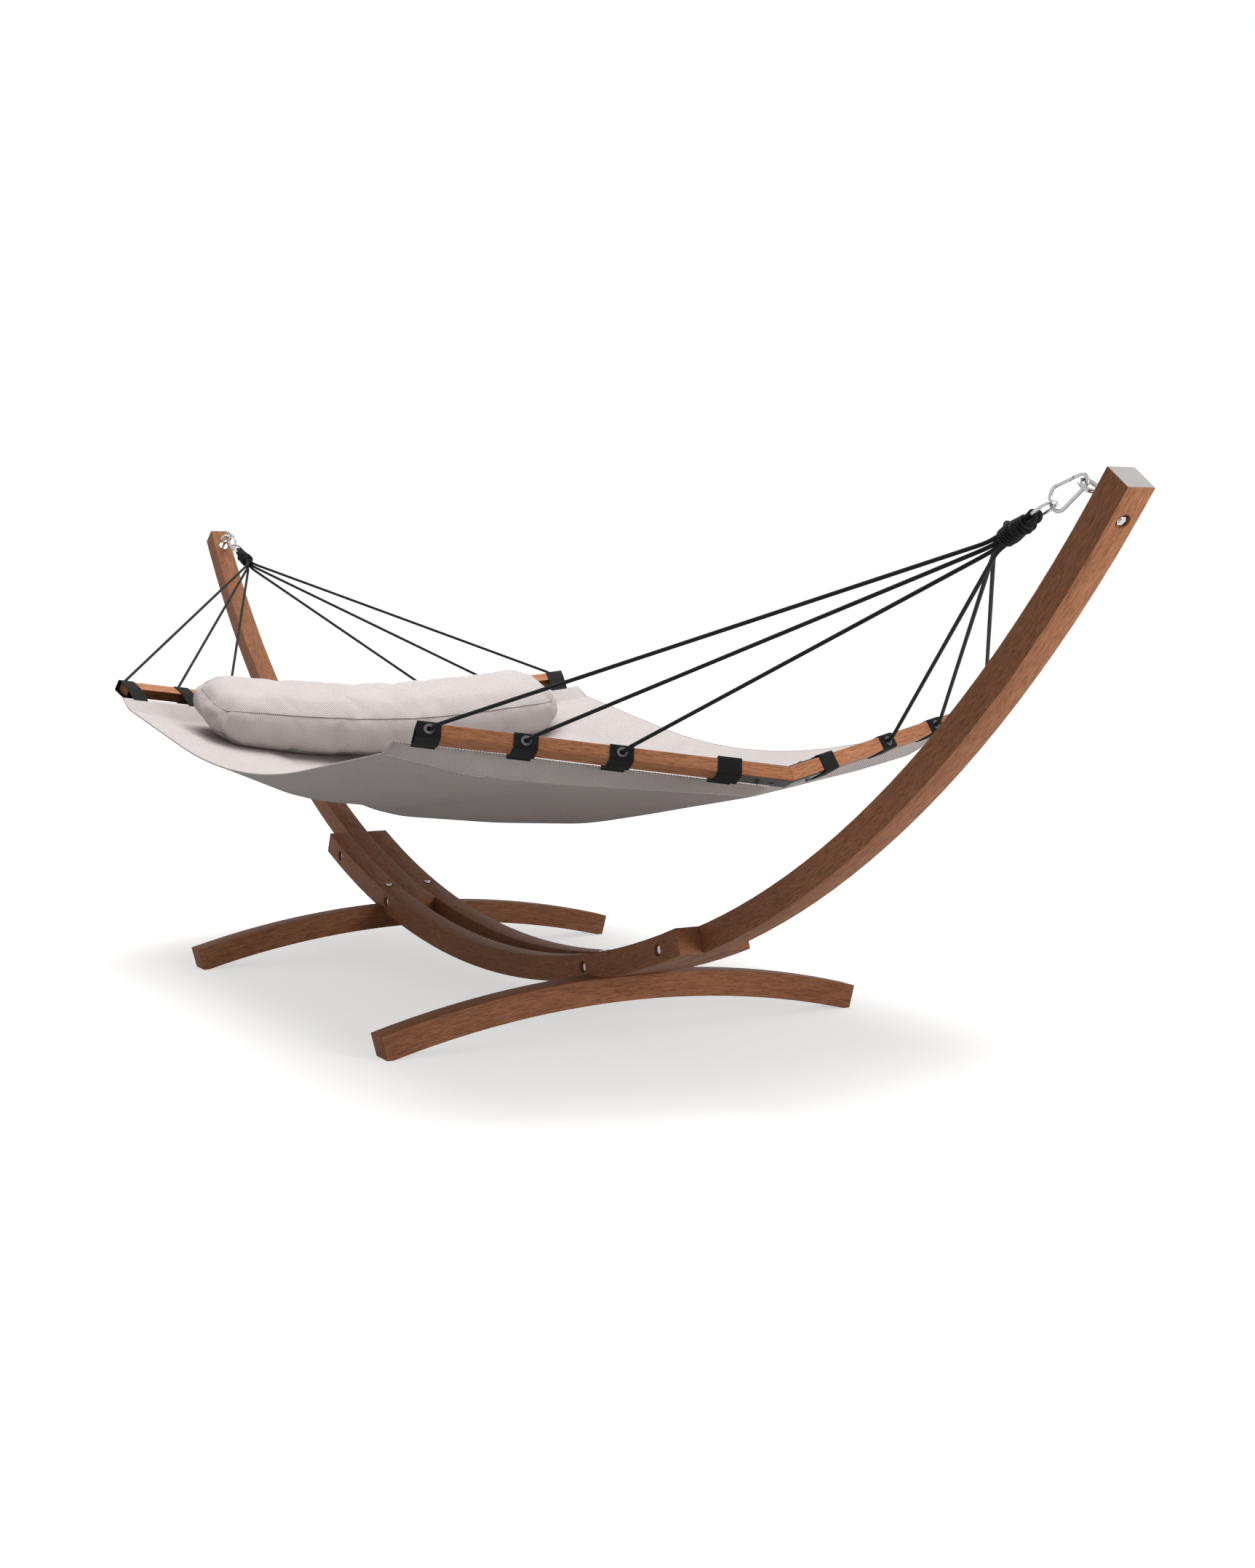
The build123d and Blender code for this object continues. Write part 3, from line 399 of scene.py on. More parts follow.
class Nodes:
    """The shader nodes of a material or a world, cleared first."""

    def __init__(self, holder):
        holder.use_nodes = True
        self.tree = holder.node_tree
        self.tree.nodes.clear()

    def node(self, kind, settings=None, sockets=None):
        """Any node: its settings first, then the values or links of its sockets."""
        made = self.tree.nodes.new(kind)
        for name, value in (settings or {}).items():
            setattr(made, name, value)
        for name, value in (sockets or {}).items():
            self.feed(made.inputs[name], value)
        return made

    def feed(self, socket, value):
        """Gives a socket a number, a colour, a Value or another node's output."""
        if isinstance(value, Value):
            self.tree.links.new(value.socket, socket)
        elif isinstance(value, bpy.types.NodeSocket):
            self.tree.links.new(value, socket)
        elif socket.type == "RGBA":
            socket.default_value = (*value, 1.0)
        else:
            socket.default_value = value

    def number(self, kind, settings=None, sockets=None, output=0):
        """A node's output as a Value."""
        return Value(self, self.node(kind, settings, sockets).outputs[output])

    def seen_rays(self):
        """Camera, mirror and glass rays together."""
        rays = self.node("ShaderNodeLightPath").outputs
        kinds = ("Is Camera Ray", "Is Glossy Ray", "Is Transmission Ray")
        camera, mirror, glass = [Value(self, rays[kind]) for kind in kinds]
        return camera.math("MAXIMUM", mirror).math("MAXIMUM", glass)


class Finish(Nodes):
    """A material and its nodes, around one Principled shader."""

    def __init__(self, name, **settings):
        self.material = bpy.data.materials.new(name)
        super().__init__(self.material)
        self.shader = self.node("ShaderNodeBsdfPrincipled")
        self.node("ShaderNodeOutputMaterial", sockets={"Surface": self.shader.outputs["BSDF"]})
        self.set(**settings)

    def set(self, **inputs):
        """Feeds the shader's own sockets, named with underscores."""
        for name, value in inputs.items():
            self.feed(self.shader.inputs[name.replace("_", " ")], value)

    def object_place(self):
        """Object coordinates as a vector socket."""
        return self.node("ShaderNodeTexCoord").outputs["Object"]

    def flat_place(self):
        """The piece's own flat coordinates in metres, as a vector socket."""
        return self.node("ShaderNodeTexCoord").outputs["UV"]

    def split(self, vector):
        """X, Y and Z of a vector."""
        parts = self.node("ShaderNodeSeparateXYZ", sockets={"Vector": vector})
        return [Value(self, output) for output in parts.outputs]

    def vector(self, *values):
        """Vector of three values."""
        joined = self.node("ShaderNodeCombineXYZ", sockets=dict(enumerate(values)))
        return joined.outputs["Vector"]

    def noise(self, vector, scale, detail=3.0, roughness=0.5):
        """Noise from 0 to 1, most of it between 0.3 and 0.7."""
        return self.number("ShaderNodeTexNoise", {"noise_dimensions": "3D"},
                           {"Vector": vector, "Scale": scale, "Detail": detail, "Roughness": roughness})

    def spread(self, value, low, high):
        """A value's stretch from low to high, brought to 0 to 1."""
        return self.number("ShaderNodeMapRange", {"clamp": True},
                           {"Value": value, "From Min": low, "From Max": high})

    def blend(self, share, first, second):
        """Colour between two colours."""
        mixed = self.node("ShaderNodeMix", {"data_type": "RGBA"}, {"Factor": share, 6: first, 7: second})
        return mixed.outputs[2]

    def bump(self, height, distance, strength=1.0):
        """Normal from a height in 0 to 1 and its depth in metres."""
        inputs = {"Height": height, "Distance": distance, "Strength": strength}
        return self.node("ShaderNodeBump", sockets=inputs).outputs["Normal"]


DARK_STAIN = (0.085, 0.029, 0.012)
MIDDLE_STAIN = (0.235, 0.092, 0.042)
LIGHT_STAIN = (0.375, 0.163, 0.080)
SEALED_END = (0.50, 0.475, 0.46)


def timber(finish, along, across, depth, lightness=1.0):
    """Stained timber whose grain runs with the first of three coordinates; returns its colour."""
    long_grain = finish.vector(along * 5.0, across * 60.0, depth * 60.0)
    fine_grain = finish.vector(along * 30.0, across * 330.0, depth * 330.0)
    pores = finish.vector(along * 70.0, across * 720.0, depth * 720.0)
    figure = finish.vector(along * 1.8, across * 7.0, depth * 7.0)
    bands = finish.noise(long_grain, 1.0, 3.0)
    fibres = finish.noise(fine_grain, 1.0, 4.0, 0.65)
    pits = finish.spread(finish.noise(pores, 1.0, 2.0), 0.54, 0.68)
    cloud = finish.noise(figure, 1.0, 3.0)
    dark, middle, light = [[channel * lightness for channel in stain]
                           for stain in (DARK_STAIN, MIDDLE_STAIN, LIGHT_STAIN)]
    tone = finish.spread(bands * 0.20 + fibres * 0.45 + cloud * 0.35, 0.36, 0.66)
    colour = finish.blend(tone, middle, light)
    streaks = finish.spread(fibres, 0.52, 0.36) * 0.40
    colour = finish.blend(streaks, colour, dark)
    colour = finish.blend(pits * 0.55, colour, dark)
    height = fibres * 0.6 + bands * 0.3 - pits * 0.5
    finish.set(Base_Color=colour, Roughness=0.46 + fibres * 0.20 + pits * 0.15, Specular_IOR_Level=0.13,
               Normal=finish.bump(height, 0.00035, 0.55))
    return colour


def arc_timber():
    """Rails and arms, grain along their circle, with the arms' top ends sealed pale."""
    finish = Finish("stained_arc_timber")
    x, y, z = finish.split(finish.object_place())
    down = ARC_CENTRE_Z - z
    angle = x.angle_over(down)
    radius = (x * x + down * down).root()
    colour = timber(finish, angle * ARC_MIDDLE_RADIUS, y, radius)
    sealed = abs(angle) > radians(ARM_END_ANGLE - 0.004)
    finish.set(Base_Color=finish.blend(sealed, colour, SEALED_END))
    return finish.material


def foot_timber():
    """Feet, grain along their arch."""
    finish = Finish("stained_foot_timber")
    x, y, z = finish.split(finish.object_place())
    up = z - FOOT_CENTRE_Z
    timber(finish, y.angle_over(up) * FOOT_MIDDLE_RADIUS, x, (y * y + up * up).root())
    return finish.material


def bar_timber():
    """Spreader bars, grain along each half."""
    finish = Finish("stained_bar_timber")
    x, y, z = finish.split(finish.object_place())
    place = finish.vector(abs(x), abs(y), z)
    axes = [BAR.to_3x3() @ Vector(axis) for axis in ((0, 1, 0), (1, 0, 0), (0, 0, 1))]
    along, across, depth = [
        finish.number("ShaderNodeVectorMath", {"operation": "DOT_PRODUCT"}, {0: place, 1: axis}, "Value")
        for axis in axes]
    timber(finish, along, across, depth, 1.3)
    return finish.material


def steel(name, colour, roughness, metallic=1.0):
    """Metal with faint streaks in its gloss."""
    finish = Finish(name, Metallic=metallic)
    place = finish.object_place()
    smear = finish.noise(place, 160.0, 3.0)
    fine = finish.noise(place, 900.0, 2.0)
    finish.set(Base_Color=finish.blend(smear, [shade * 0.88 for shade in colour], colour),
               Roughness=roughness + (smear - 0.5) * 0.16,
               Normal=finish.bump(fine, 0.00005, 0.4))
    return finish.material


YARN_PITCH = 0.0021
ROPE_STRAND = 0.0021
RIB_PITCH = 0.0016
WEBBING_YARN = 0.0022
LIGHT_YARN = (0.80, 0.745, 0.725)
DARK_YARN = (0.10, 0.078, 0.072)


def woven(name, pitch=YARN_PITCH, light=LIGHT_YARN, deep=DARK_YARN):
    """Two tone twill: pale warp crossed by dark weft, in the piece's flat coordinates."""
    finish = Finish(name, Specular_IOR_Level=0.15)
    place = finish.flat_place()
    u, v, _ = finish.split(place)
    warp, weft = u / pitch, v / pitch
    step = (warp.floor() + weft.floor()) % 3
    over = step < 0.5
    thread = abs((warp * pi).sine()) * (1 - over) + abs((weft * pi).sine()) * over
    slub = finish.noise(finish.vector(u * 130.0, v * 900.0, 0.0), 1.0, 2.0)
    soft = finish.noise(place, 9.0, 3.0)
    pale = finish.blend(finish.spread(slub, 0.3, 0.7), [shade * 0.86 for shade in light], light)
    dark = finish.blend(finish.spread(slub, 0.3, 0.7), deep, [shade * 1.5 for shade in deep])
    colour = finish.blend(over * 0.90, pale, dark)
    # each yarn darkens towards its edges: painted shade in the grooves between the yarns
    colour = finish.blend((1 - thread) * 0.40, colour, deep)
    colour = finish.blend(finish.spread(soft, 0.35, 0.75) * 0.12, colour, light)
    finish.set(Base_Color=colour, Roughness=0.80 + slub * 0.15,
               Normal=finish.bump(thread * 0.8 + slub * 0.3, 0.0007, 0.7))
    return finish.material


def thread_finish():
    """Pale sewing thread."""
    finish = Finish("pale_thread", Specular_IOR_Level=0.2)
    twist = finish.noise(finish.object_place(), 1800.0, 2.0)
    finish.set(Base_Color=finish.blend(twist, (0.52, 0.48, 0.46), (0.78, 0.74, 0.71)),
               Roughness=0.6 + twist * 0.2, Normal=finish.bump(twist, 0.0002, 0.6))
    return finish.material


def black_rope():
    """Braided black cord: crossing strands in its flat coordinates."""
    finish = Finish("black_braid", Specular_IOR_Level=0.16)
    u, v, _ = finish.split(finish.flat_place())
    left = ((u + v) * (pi / ROPE_STRAND)).sine()
    right = ((u - v) * (pi / ROPE_STRAND)).sine()
    cross = abs(left) * abs(right)
    fibre = finish.noise(finish.flat_place(), 2600.0, 2.0)
    # strand crowns lighter and the grooves between strands darker: painted light and shade; the fibre noise is
    # the cord's own tone
    colour = finish.blend(cross * 0.6 + fibre * 0.4, (0.002, 0.002, 0.002), (0.014, 0.014, 0.015))
    finish.set(Base_Color=colour, Roughness=0.48 + fibre * 0.3,
               Normal=finish.bump(cross * 0.8 + fibre * 0.2, 0.0006, 0.8))
    return finish.material


def black_webbing():
    """Ribbed black webbing with selvedges, in its flat coordinates."""
    finish = Finish("black_webbing", Specular_IOR_Level=0.14)
    u, v, _ = finish.split(finish.flat_place())
    rib = abs((u * (pi / RIB_PITCH)).sine())
    yarn = abs((v * (pi / WEBBING_YARN) + (u / RIB_PITCH).floor() * (pi / 2)).sine())
    fibre = finish.noise(finish.flat_place(), 1500.0, 2.0)
    middle = abs(v / STRAP_WIDTH - 0.5)
    edge = middle > 0.455
    height = rib * 0.5 + yarn * 0.4 + edge * 0.5
    # raised ribs, yarns and selvedges lighter and the grooves darker: painted light and shade; the fibre noise
    # is the webbing's own tone
    colour = finish.blend(height * 0.5 + fibre * 0.3, (0.003, 0.003, 0.003), (0.013, 0.013, 0.014))
    finish.set(Base_Color=colour, Roughness=0.72 + fibre * 0.2, Normal=finish.bump(height, 0.0005, 0.6))
    return finish.material


BED_CLOTH = woven("bed_weave")
PILLOW_CLOTH = woven("pillow_weave", 0.0019)
TAPE = woven("binding_tape", 0.0008, (0.72, 0.67, 0.65), (0.42, 0.38, 0.36))
# dark cloth for the pillow's seam welts: painted shadow along its seams
PAINTED_SEAM_SHADOW = woven("painted_seam_shadow", 0.0008, (0.30, 0.26, 0.25), (0.14, 0.12, 0.11))
THREAD = thread_finish()
ROPE = black_rope()
WEBBING = black_webbing()
BRIGHT = steel("bright_steel_finish", (0.47, 0.47, 0.48), 0.20)
GUNMETAL = steel("eyelet_steel", (0.13, 0.13, 0.135), 0.36)
PLATE = steel("dark_plate_steel", (0.085, 0.085, 0.09), 0.45, 0.85)


# CAD nodes that show

def dress_cad_nodes():
    """Gives the timber and metal nodes their finishes, and the timber softened edges."""
    arcs, feet, bars = arc_timber(), foot_timber(), bar_timber()
    finishes = {"stained_timber": arcs, "bar_timber": bars, "bright_steel": BRIGHT, "plate_steel": PLATE}
    for part in frame["record"]["subparts"]:
        name, slot = part["node"], part["material_slot"]
        if slot not in finishes:
            continue
        finish = finishes[slot]
        if name.endswith("foot"):
            finish = feet
        if name.endswith("eyelets"):
            finish = GUNMETAL
        node = frame["nodes"][name]
        node.data.materials.clear()
        node.data.materials.append(finish)
        if "timber" in slot:
            soften(node)


def soften(node):
    """Joins a CAD node's loose triangles by modifiers and rounds its sharp edges."""
    weld = node.modifiers.new("joined", "WELD")
    weld.merge_threshold = 0.00002
    flat = node.modifiers.new("flat_faces", "DECIMATE")
    flat.decimate_type = "DISSOLVE"
    flat.angle_limit = radians(0.3)
    rounding = node.modifiers.new("rounded_edges", "BEVEL")
    rounding.width = EDGE_ROUNDING
    rounding.segments = 3
    rounding.limit_method = "ANGLE"
    rounding.angle_limit = radians(40)
    rounding.use_clamp_overlap = False
    rounding.harden_normals = True


# Cloth bed

def at_stations(values, y):
    """A value given at each fold and at the side edge, at one place across the bed."""
    outs = list(FOLDS) + [(FOLDS[-1] + BED_HALF_WIDTH) / 2, BED_HALF_WIDTH]
    y = abs(y)
    for low, high, first, second in zip(outs, outs[1:], values, values[1:]):
        if y <= high:
            return first + (second - first) * (y - low) / (high - low)
    return values[-1] + (values[-1] - values[-2]) * (y - outs[-1]) / (outs[-1] - outs[-2])


def softly(values, y):
    """The same with the folds rounded."""
    return (at_stations(values, y - FOLD_ROUNDING) + 2 * at_stations(values, y)
            + at_stations(values, y + FOLD_ROUNDING)) / 4


def hem_edge(y):
    """Top of the bed's end edge at the toe end."""
    corner = BAR @ Vector((-HEM_SETBACK, 0, -HEM_BELOW))
    point = corner + BAR_WAY * ((abs(y) - corner.y) / BAR_WAY.y)
    return Vector((point.x, y, point.z + EDGE_RISE))


def hem_slope(y):
    """From the bed's end edge down to the end of its hem."""
    return Vector((-HEM_WIDTH, 0, -softly(HEM_DROPS, y)))


def bed_row(y):
    """Half of one row across the bed as a polyline, from its middle to the toe end edge."""
    edge = hem_edge(y)
    stitch = edge + hem_slope(y)
    low = BAR.translation.z - softly(SAGS, y)
    curved = CURVE_SHARE * stitch.x
    straight = stitch.x - curved
    fall = stitch.z - low
    half_turn = 0.0
    for _ in range(12):
        bent = 1 - half_turn ** 2
        half_turn = fall * bent / (curved * bent + 2 * straight)
    rise = curved * half_turn
    radius = (curved ** 2 + rise ** 2) / (2 * rise)
    made = []
    for step in range(CURVE_STEPS + 1):
        x = curved * step / CURVE_STEPS
        made.append(Vector((x, y, low + radius - sqrt(radius ** 2 - x ** 2))))
    return made + [stitch, edge]


def bed_columns():
    """Places across the bed, near evenly, with one on each fold."""
    outs = FOLDS + (BED_HALF_WIDTH,)
    made = []
    for low, high in zip(outs, outs[1:]):
        count = ceil((high - low) / BED_CELL)
        made += [low + (high - low) * (step + 1) / count for step in range(count)]
    return [-y for y in reversed(made)] + [0.0] + made


def ripple(x, y):
    """Slight unevenness of the stretched cloth, fading out towards its edges."""
    hold = min(1.0, (1.16 - abs(x)) / 0.25, (BED_HALF_WIDTH - abs(y)) / 0.06)
    pull = noise.noise(Vector((x * 1.3 + abs(y) * 1.1, y * 4.6, 3.0))) * RIPPLE_ACROSS
    drag = noise.noise(Vector((x * 6.0, y * 1.8, 9.0))) * RIPPLE_ALONG
    return max(0.0, hold) * (pull + drag)


def bed():
    """Cloth bed: one sheet with folds each side and hems at its ends."""
    rows = [evenly(bed_row(y), ROWS_PER_HALF + 1) for y in bed_columns()]
    columns = len(rows) - 1

    def place(across, along):
        row = rows[round(across * columns)]
        step = round(along * 2 * ROWS_PER_HALF) - ROWS_PER_HALF
        spot = row[abs(step)].copy()
        spot.z += ripple(spot.x, spot.y)
        if step < 0:
            spot.x = -spot.x
        return spot

    mesh = bmesh.new()
    add_grid(mesh, columns, 2 * ROWS_PER_HALF, place, BED_FLAT)
    sheet = make_piece("hammock_bed", mesh, BED_CLOTH, ["bed_cloth"], closed=False)
    if sum(face.normal.z for face in sheet.data.polygons) < 0:
        sheet.data.flip_normals()
    wall = sheet.modifiers.new("thickness", "SOLIDIFY")
    wall.thickness = BED_THICKNESS
    wall.offset = -1
    return sheet


def side_bindings():
    """Rolled edges along the bed's two sides."""
    mesh = bmesh.new()
    for side in (1, -1):
        row = bed_row(side * (BED_HALF_WIDTH - 0.0005))
        half = [spot - Vector((0, 0, BED_THICKNESS / 2)) for spot in row]
        path = [Vector((-spot.x, spot.y, spot.z)) for spot in reversed(half[1:])] + half
        add_cord(mesh, evenly(path, 200), BINDING_DIAMETER, sides=8, step=0.012, relief=0.0)
    return make_piece("bed_side_bindings", mesh, TAPE)


def add_stitch(mesh, start, end, up):
    """One stitch: a small six sided bead between two points."""
    way = end - start
    side = way.normalized().cross(up).normalized()
    radius = STITCH_THICKNESS / 2
    made = bmesh.ops.create_cone(mesh, cap_ends=True, segments=6, radius1=radius, radius2=radius,
                                 depth=way.length)["verts"]
    turn = Matrix((side, up, side.cross(up))).transposed().to_4x4()
    turn.translation = (start + end) / 2
    bmesh.ops.transform(mesh, matrix=turn, verts=made)


def hem_stitches():
    """Lock stitches along both hems, on both faces, and oversewing along the end edges."""
    mesh = bmesh.new()
    count = int(2 * BED_HALF_WIDTH / STITCH_PITCH)
    for end in (1, -1):
        flip = Vector((end, 1, 1))
        for index in range(1, count):
            y = BED_HALF_WIDTH * (2 * index / count - 1)
            edge, fall = hem_edge(y), hem_slope(y).normalized()
            seam = edge + hem_slope(y) * SEAM_AT
            next_y = y + STITCH_PITCH * STITCH_SHARE
            ahead = hem_edge(next_y) + hem_slope(next_y) * SEAM_AT
            out = (ahead - seam).cross(fall).normalized()
            out = out if out.z > 0 else -out
            for lift in (STITCH_LIFT, -BED_THICKNESS - STITCH_LIFT):
                start, stop = [(spot + out * lift) * flip for spot in (seam, ahead)]
                add_stitch(mesh, start, stop, out * flip)
            over = edge - fall * OVERSEWING_LIFT
            hook = [over + fall * OVERSEWING + out * OVERSEWING_LIFT,
                    over - fall * 0.0006 - out * (BED_THICKNESS / 2),
                    over + fall * OVERSEWING - out * (BED_THICKNESS + OVERSEWING_LIFT)]
            for start, stop in zip(hook, hook[1:]):
                add_stitch(mesh, start * flip, stop * flip, BAR_WAY * flip)
    return make_piece("bed_hem_stitches", mesh, THREAD)


# Webbing straps

def strap_path(place):
    """Middle line of one webbing loop in the bar's frame, from hem to hem round the bar."""
    side = STRAP_PLAY + STRAP_THICKNESS / 2
    pad = side + (PLATE_THICKNESS if place < PLATE_REACH else 0)
    y = (BAR @ Vector((-HEM_SETBACK, place, -HEM_BELOW))).y
    fall = (BAR.to_3x3().inverted() @ hem_slope(y)).normalized()
    tail = Vector((fall.x, 0, fall.z)) * (STRAP_LAP + STRAP_TAIL)
    layer = (BED_THICKNESS + STRAP_THICKNESS) / 2 + STRAP_SEAM_GAP
    middle = EDGE_RISE - BED_THICKNESS / 2 - HEM_BELOW
    upper, lower = [Vector((STRAP_TAIL - HEM_SETBACK, 0, middle + rise)) for rise in (layer, -layer)]
    corners = [(-BAR_WIDTH - side, pad), (side, pad), (side, -BAR_THICKNESS - pad),
               (-BAR_WIDTH - side, -BAR_THICKNESS - pad)]
    round_bar = [Vector((x, 0, z)) for x, z in corners]
    return rounded([upper + tail, upper] + round_bar + [lower, lower + tail], STRAP_BEND)


def add_strap(mesh, place, placing):
    """One webbing loop, holed where a rope goes through."""
    path = strap_path(place)
    length = lengths_along(path)[-1]
    steps = ceil(length / WEBBING_CELL)
    spots = evenly(path, steps + 1)

    def put(along, width):
        spot = spots[round(along * steps)]
        return Vector((spot.x, place + (width - 0.5) * STRAP_WIDTH, spot.z))

    corners = add_grid(mesh, steps, WEBBING_COLUMNS, put, (length, STRAP_WIDTH))
    if place != INNER_STRAP_AT:
        open_hole(mesh, corners, Vector((STRAP_PLAY + STRAP_THICKNESS / 2, place, -BAR_THICKNESS / 2)))
        corners = [corner for corner in corners if corner.is_valid]
    bmesh.ops.transform(mesh, matrix=placing, verts=corners)


def straps(end, sign):
    """The eight webbing loops of one end."""
    mesh = bmesh.new()
    for _, side in SIDES:
        for place in STRAP_PLACES:
            add_strap(mesh, place, mirrored(sign, side) @ BAR)
    webbing = make_piece(end + "_webbing", mesh, WEBBING, [end + "_straps"], closed=False)
    wall = webbing.modifiers.new("thickness", "SOLIDIFY")
    wall.thickness = STRAP_THICKNESS
    wall.offset = 0


def open_hole(mesh, corners, hole):
    """Round hole in a webbing's outer face."""
    faces = {face for corner in corners for face in corner.link_faces}
    near = [face for face in faces if (face.calc_center_median() - hole).length < EYELET_HOLE]
    rim = {corner for face in near for corner in face.verts}
    bmesh.ops.delete(mesh, geom=near, context="FACES")
    for corner in rim:
        if corner.is_valid:
            offset = corner.co - hole
            offset.x = 0
            corner.co = hole + offset.normalized() * EYELET_HOLE


# Ropes

def rope_route(row):
    """Route of one rope of the +Y half from the bundle's mouth to its knot in the bar."""
    rise, middle = (1 - row) * ROPE_ROW_PITCH, -BAR_THICKNESS / 2
    place = STRAP_PLACES[row]
    start = PULL @ Vector((MOUTH, rise, ROPE_SIDE_OFFSET))
    first = PULL @ Vector((MOUTH + ROPE_FIRST_RUN, rise, ROPE_SIDE_OFFSET))
    turn = BAR @ Vector((ROPE_CORNER, place, middle))
    last = BAR @ Vector((BAR_RECESS_DEPTH - BAR_WIDTH - STOPPER_PLAY, place, middle))
    way = (turn - first).normalized()
    return [start, first, first + way * STRAIGHT_FROM, turn - way * STRAIGHT_FROM, turn, last]


def ropes(end, sign):
    """The six taut ropes of one end."""
    for side_name, side in SIDES:
        placing = mirrored(sign, side)
        for row, length in enumerate(ROPE_LENGTHS):
            points = [placing @ point for point in route(rope_route(row))]
            mesh = bmesh.new()
            add_cord(mesh, points, ROPE_DIAMETER)
            name = "_".join((end, "rope", side_name, ("outer", "middle", "inner")[row]))
            rope = make_piece(name, mesh, ROPE, ["_".join((end, "ropes", side_name))])
            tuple(points[0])


def lashing_radius(place):
    """Radius of the lashing's middle line at a place along it."""
    last = LASHING_RADII[0]
    for step in LASHING_RADII[1:]:
        if place <= step[0]:
            return last[1] + (step[1] - last[1]) * (place - last[0]) / (step[0] - last[0])
        last = step
    return last[1]


def lashing_spot(turn, swell=0.0):
    """Point on the lashing after some turns, swollen outwards."""
    place = turn * LASHING_PITCH
    radius = lashing_radius(place) + swell
    angle = 2 * pi * turn
    return Vector((LASHING_A + place, radius * cos(angle), radius * sin(angle)))


def lashing(end, sign):
    """Cord wound on the bundle, each turn locked by a hitch that steps round it."""
    mesh = bmesh.new()
    placing = mirrored(sign) @ PULL
    steps = LASHING_TURNS * 40
    path = [lashing_spot(LASHING_TURNS * step / steps) for step in range(steps + 1)]
    add_cord(mesh, path, LASHING_CORD, sides=12, relief=KNOT_RELIEF, lobes=3, placing=placing)
    for index in range(LASHING_TURNS - 1):
        start = index + HITCH_START + HITCH_ADVANCE * index
        hitch = []
        for step in range(17):
            share = step / 16
            spot = lashing_spot(start + HITCH_SPAN * share, HITCH_SWELL * sin(pi * share))
            spot.x += LASHING_PITCH * (share - 0.5) * 0.9
            hitch.append(spot)
        add_cord(mesh, hitch, LASHING_CORD * HITCH_SHARE, sides=12, relief=KNOT_RELIEF, lobes=3, placing=placing)
    make_piece(end + "_lashing_cord", mesh, ROPE, [end + "_lashing"])


def add_loops(mesh, placing):
    """Two turns round the link, whose legs end in the lashing."""
    reach = (LINK_WIRE + LOOP_CORD) / 2 + METAL_GAP
    arc = []
    for step in range(25):
        angle = radians(LOOP_WRAP * (step / 12 - 1))
        arc.append(Vector((LINK_FAR - reach * cos(angle), reach * sin(angle), 0)))
    first, last = [Vector((LASHING_A + 0.006, side * LEG_APART, 0)) for side in (-1, 1)]
    path = [first, arc[0].lerp(first, 0.5)] + arc + [arc[-1].lerp(last, 0.5), last]
    for offset in (-LOOP_APART, LOOP_APART):
        loop = [spot + Vector((0, 0, offset * (1.0 if abs(spot.x - LINK_FAR) < 0.012 else 0.85)))
                for spot in path]
        add_cord(mesh, evenly(rounded(loop, 0.004), 60), LOOP_CORD, sides=14, relief=KNOT_RELIEF,
                 placing=placing)


def add_core(mesh, placing):
    """Closed core that fills the lashing."""
    rings = 24

    def core(along, around):
        place = (LASHING_B - LASHING_A + 0.012) * along
        radius = lashing_radius(place) - LASHING_CORD * 0.45
        if round(along * rings) in (0, rings):
            radius = 0.0
        angle = 2 * pi * around
        return placing @ Vector((LASHING_A + place - 0.003, radius * cos(angle), radius * sin(angle)))

    add_grid(mesh, rings, 16, core, (0.07, 0.08))


def bundle(end, sign):
    """Rope turns round the link, the core in the lashing and the strands that leave its mouth."""
    mesh = bmesh.new()
    placing = mirrored(sign) @ PULL
    add_loops(mesh, placing)
    add_core(mesh, placing)
    for side in (1, -1):
        for row in range(3):
            rise, out = (1 - row) * ROPE_ROW_PITCH, side * ROPE_SIDE_OFFSET
            inner = Vector((LASHING_B - 0.018, rise * 0.55, out * 0.8))
            knee = Vector((LASHING_B + 0.003, rise * 0.9, out))
            outer = Vector((MOUTH + 0.0004, rise, out))
            strand = evenly(rounded([inner, knee, outer], 0.006), 24)
            add_cord(mesh, strand, ROPE_DIAMETER * 1.04, sides=14, relief=KNOT_RELIEF, placing=placing)
    make_piece(end + "_rope_loop", mesh, ROPE, [end + "_rope_bundle"])


def knots(end, sign):
    """Overhand knots that stop the ropes on the bar's inner side."""
    mesh = bmesh.new()
    path = []
    for step in range(61):
        turn = 2 * pi * step / 60
        path.append(Vector((sin(3 * turn) * STOPPER_DEPTH, (sin(turn) + 2 * sin(2 * turn)) * STOPPER_REACH,
                            (cos(turn) - 2 * cos(2 * turn)) * STOPPER_REACH)))
    low = BAR_RECESS_DEPTH - BAR_WIDTH - STOPPER_PLAY - STOPPER_HEIGHT / 2
    for _, side in SIDES:
        for place in STRAP_PLACES[:3]:
            middle = Matrix.Translation((low, place, -BAR_THICKNESS / 2))
            add_cord(mesh, path, STOPPER_CORD, sides=10, placing=mirrored(sign, side) @ BAR @ middle)
    make_piece(end + "_stopper_knots", mesh, ROPE, [end + "_rope_stoppers"])


# Pillow

def bed_top(x, y):
    """Height of the cloth's top over one place."""
    row = bed_row(y)
    x = abs(x)
    for before, after in zip(row, row[1:]):
        if x <= after.x:
            return before.z + (after.z - before.z) * (x - before.x) / (after.x - before.x) + ripple(x, y)
    return row[-1].z


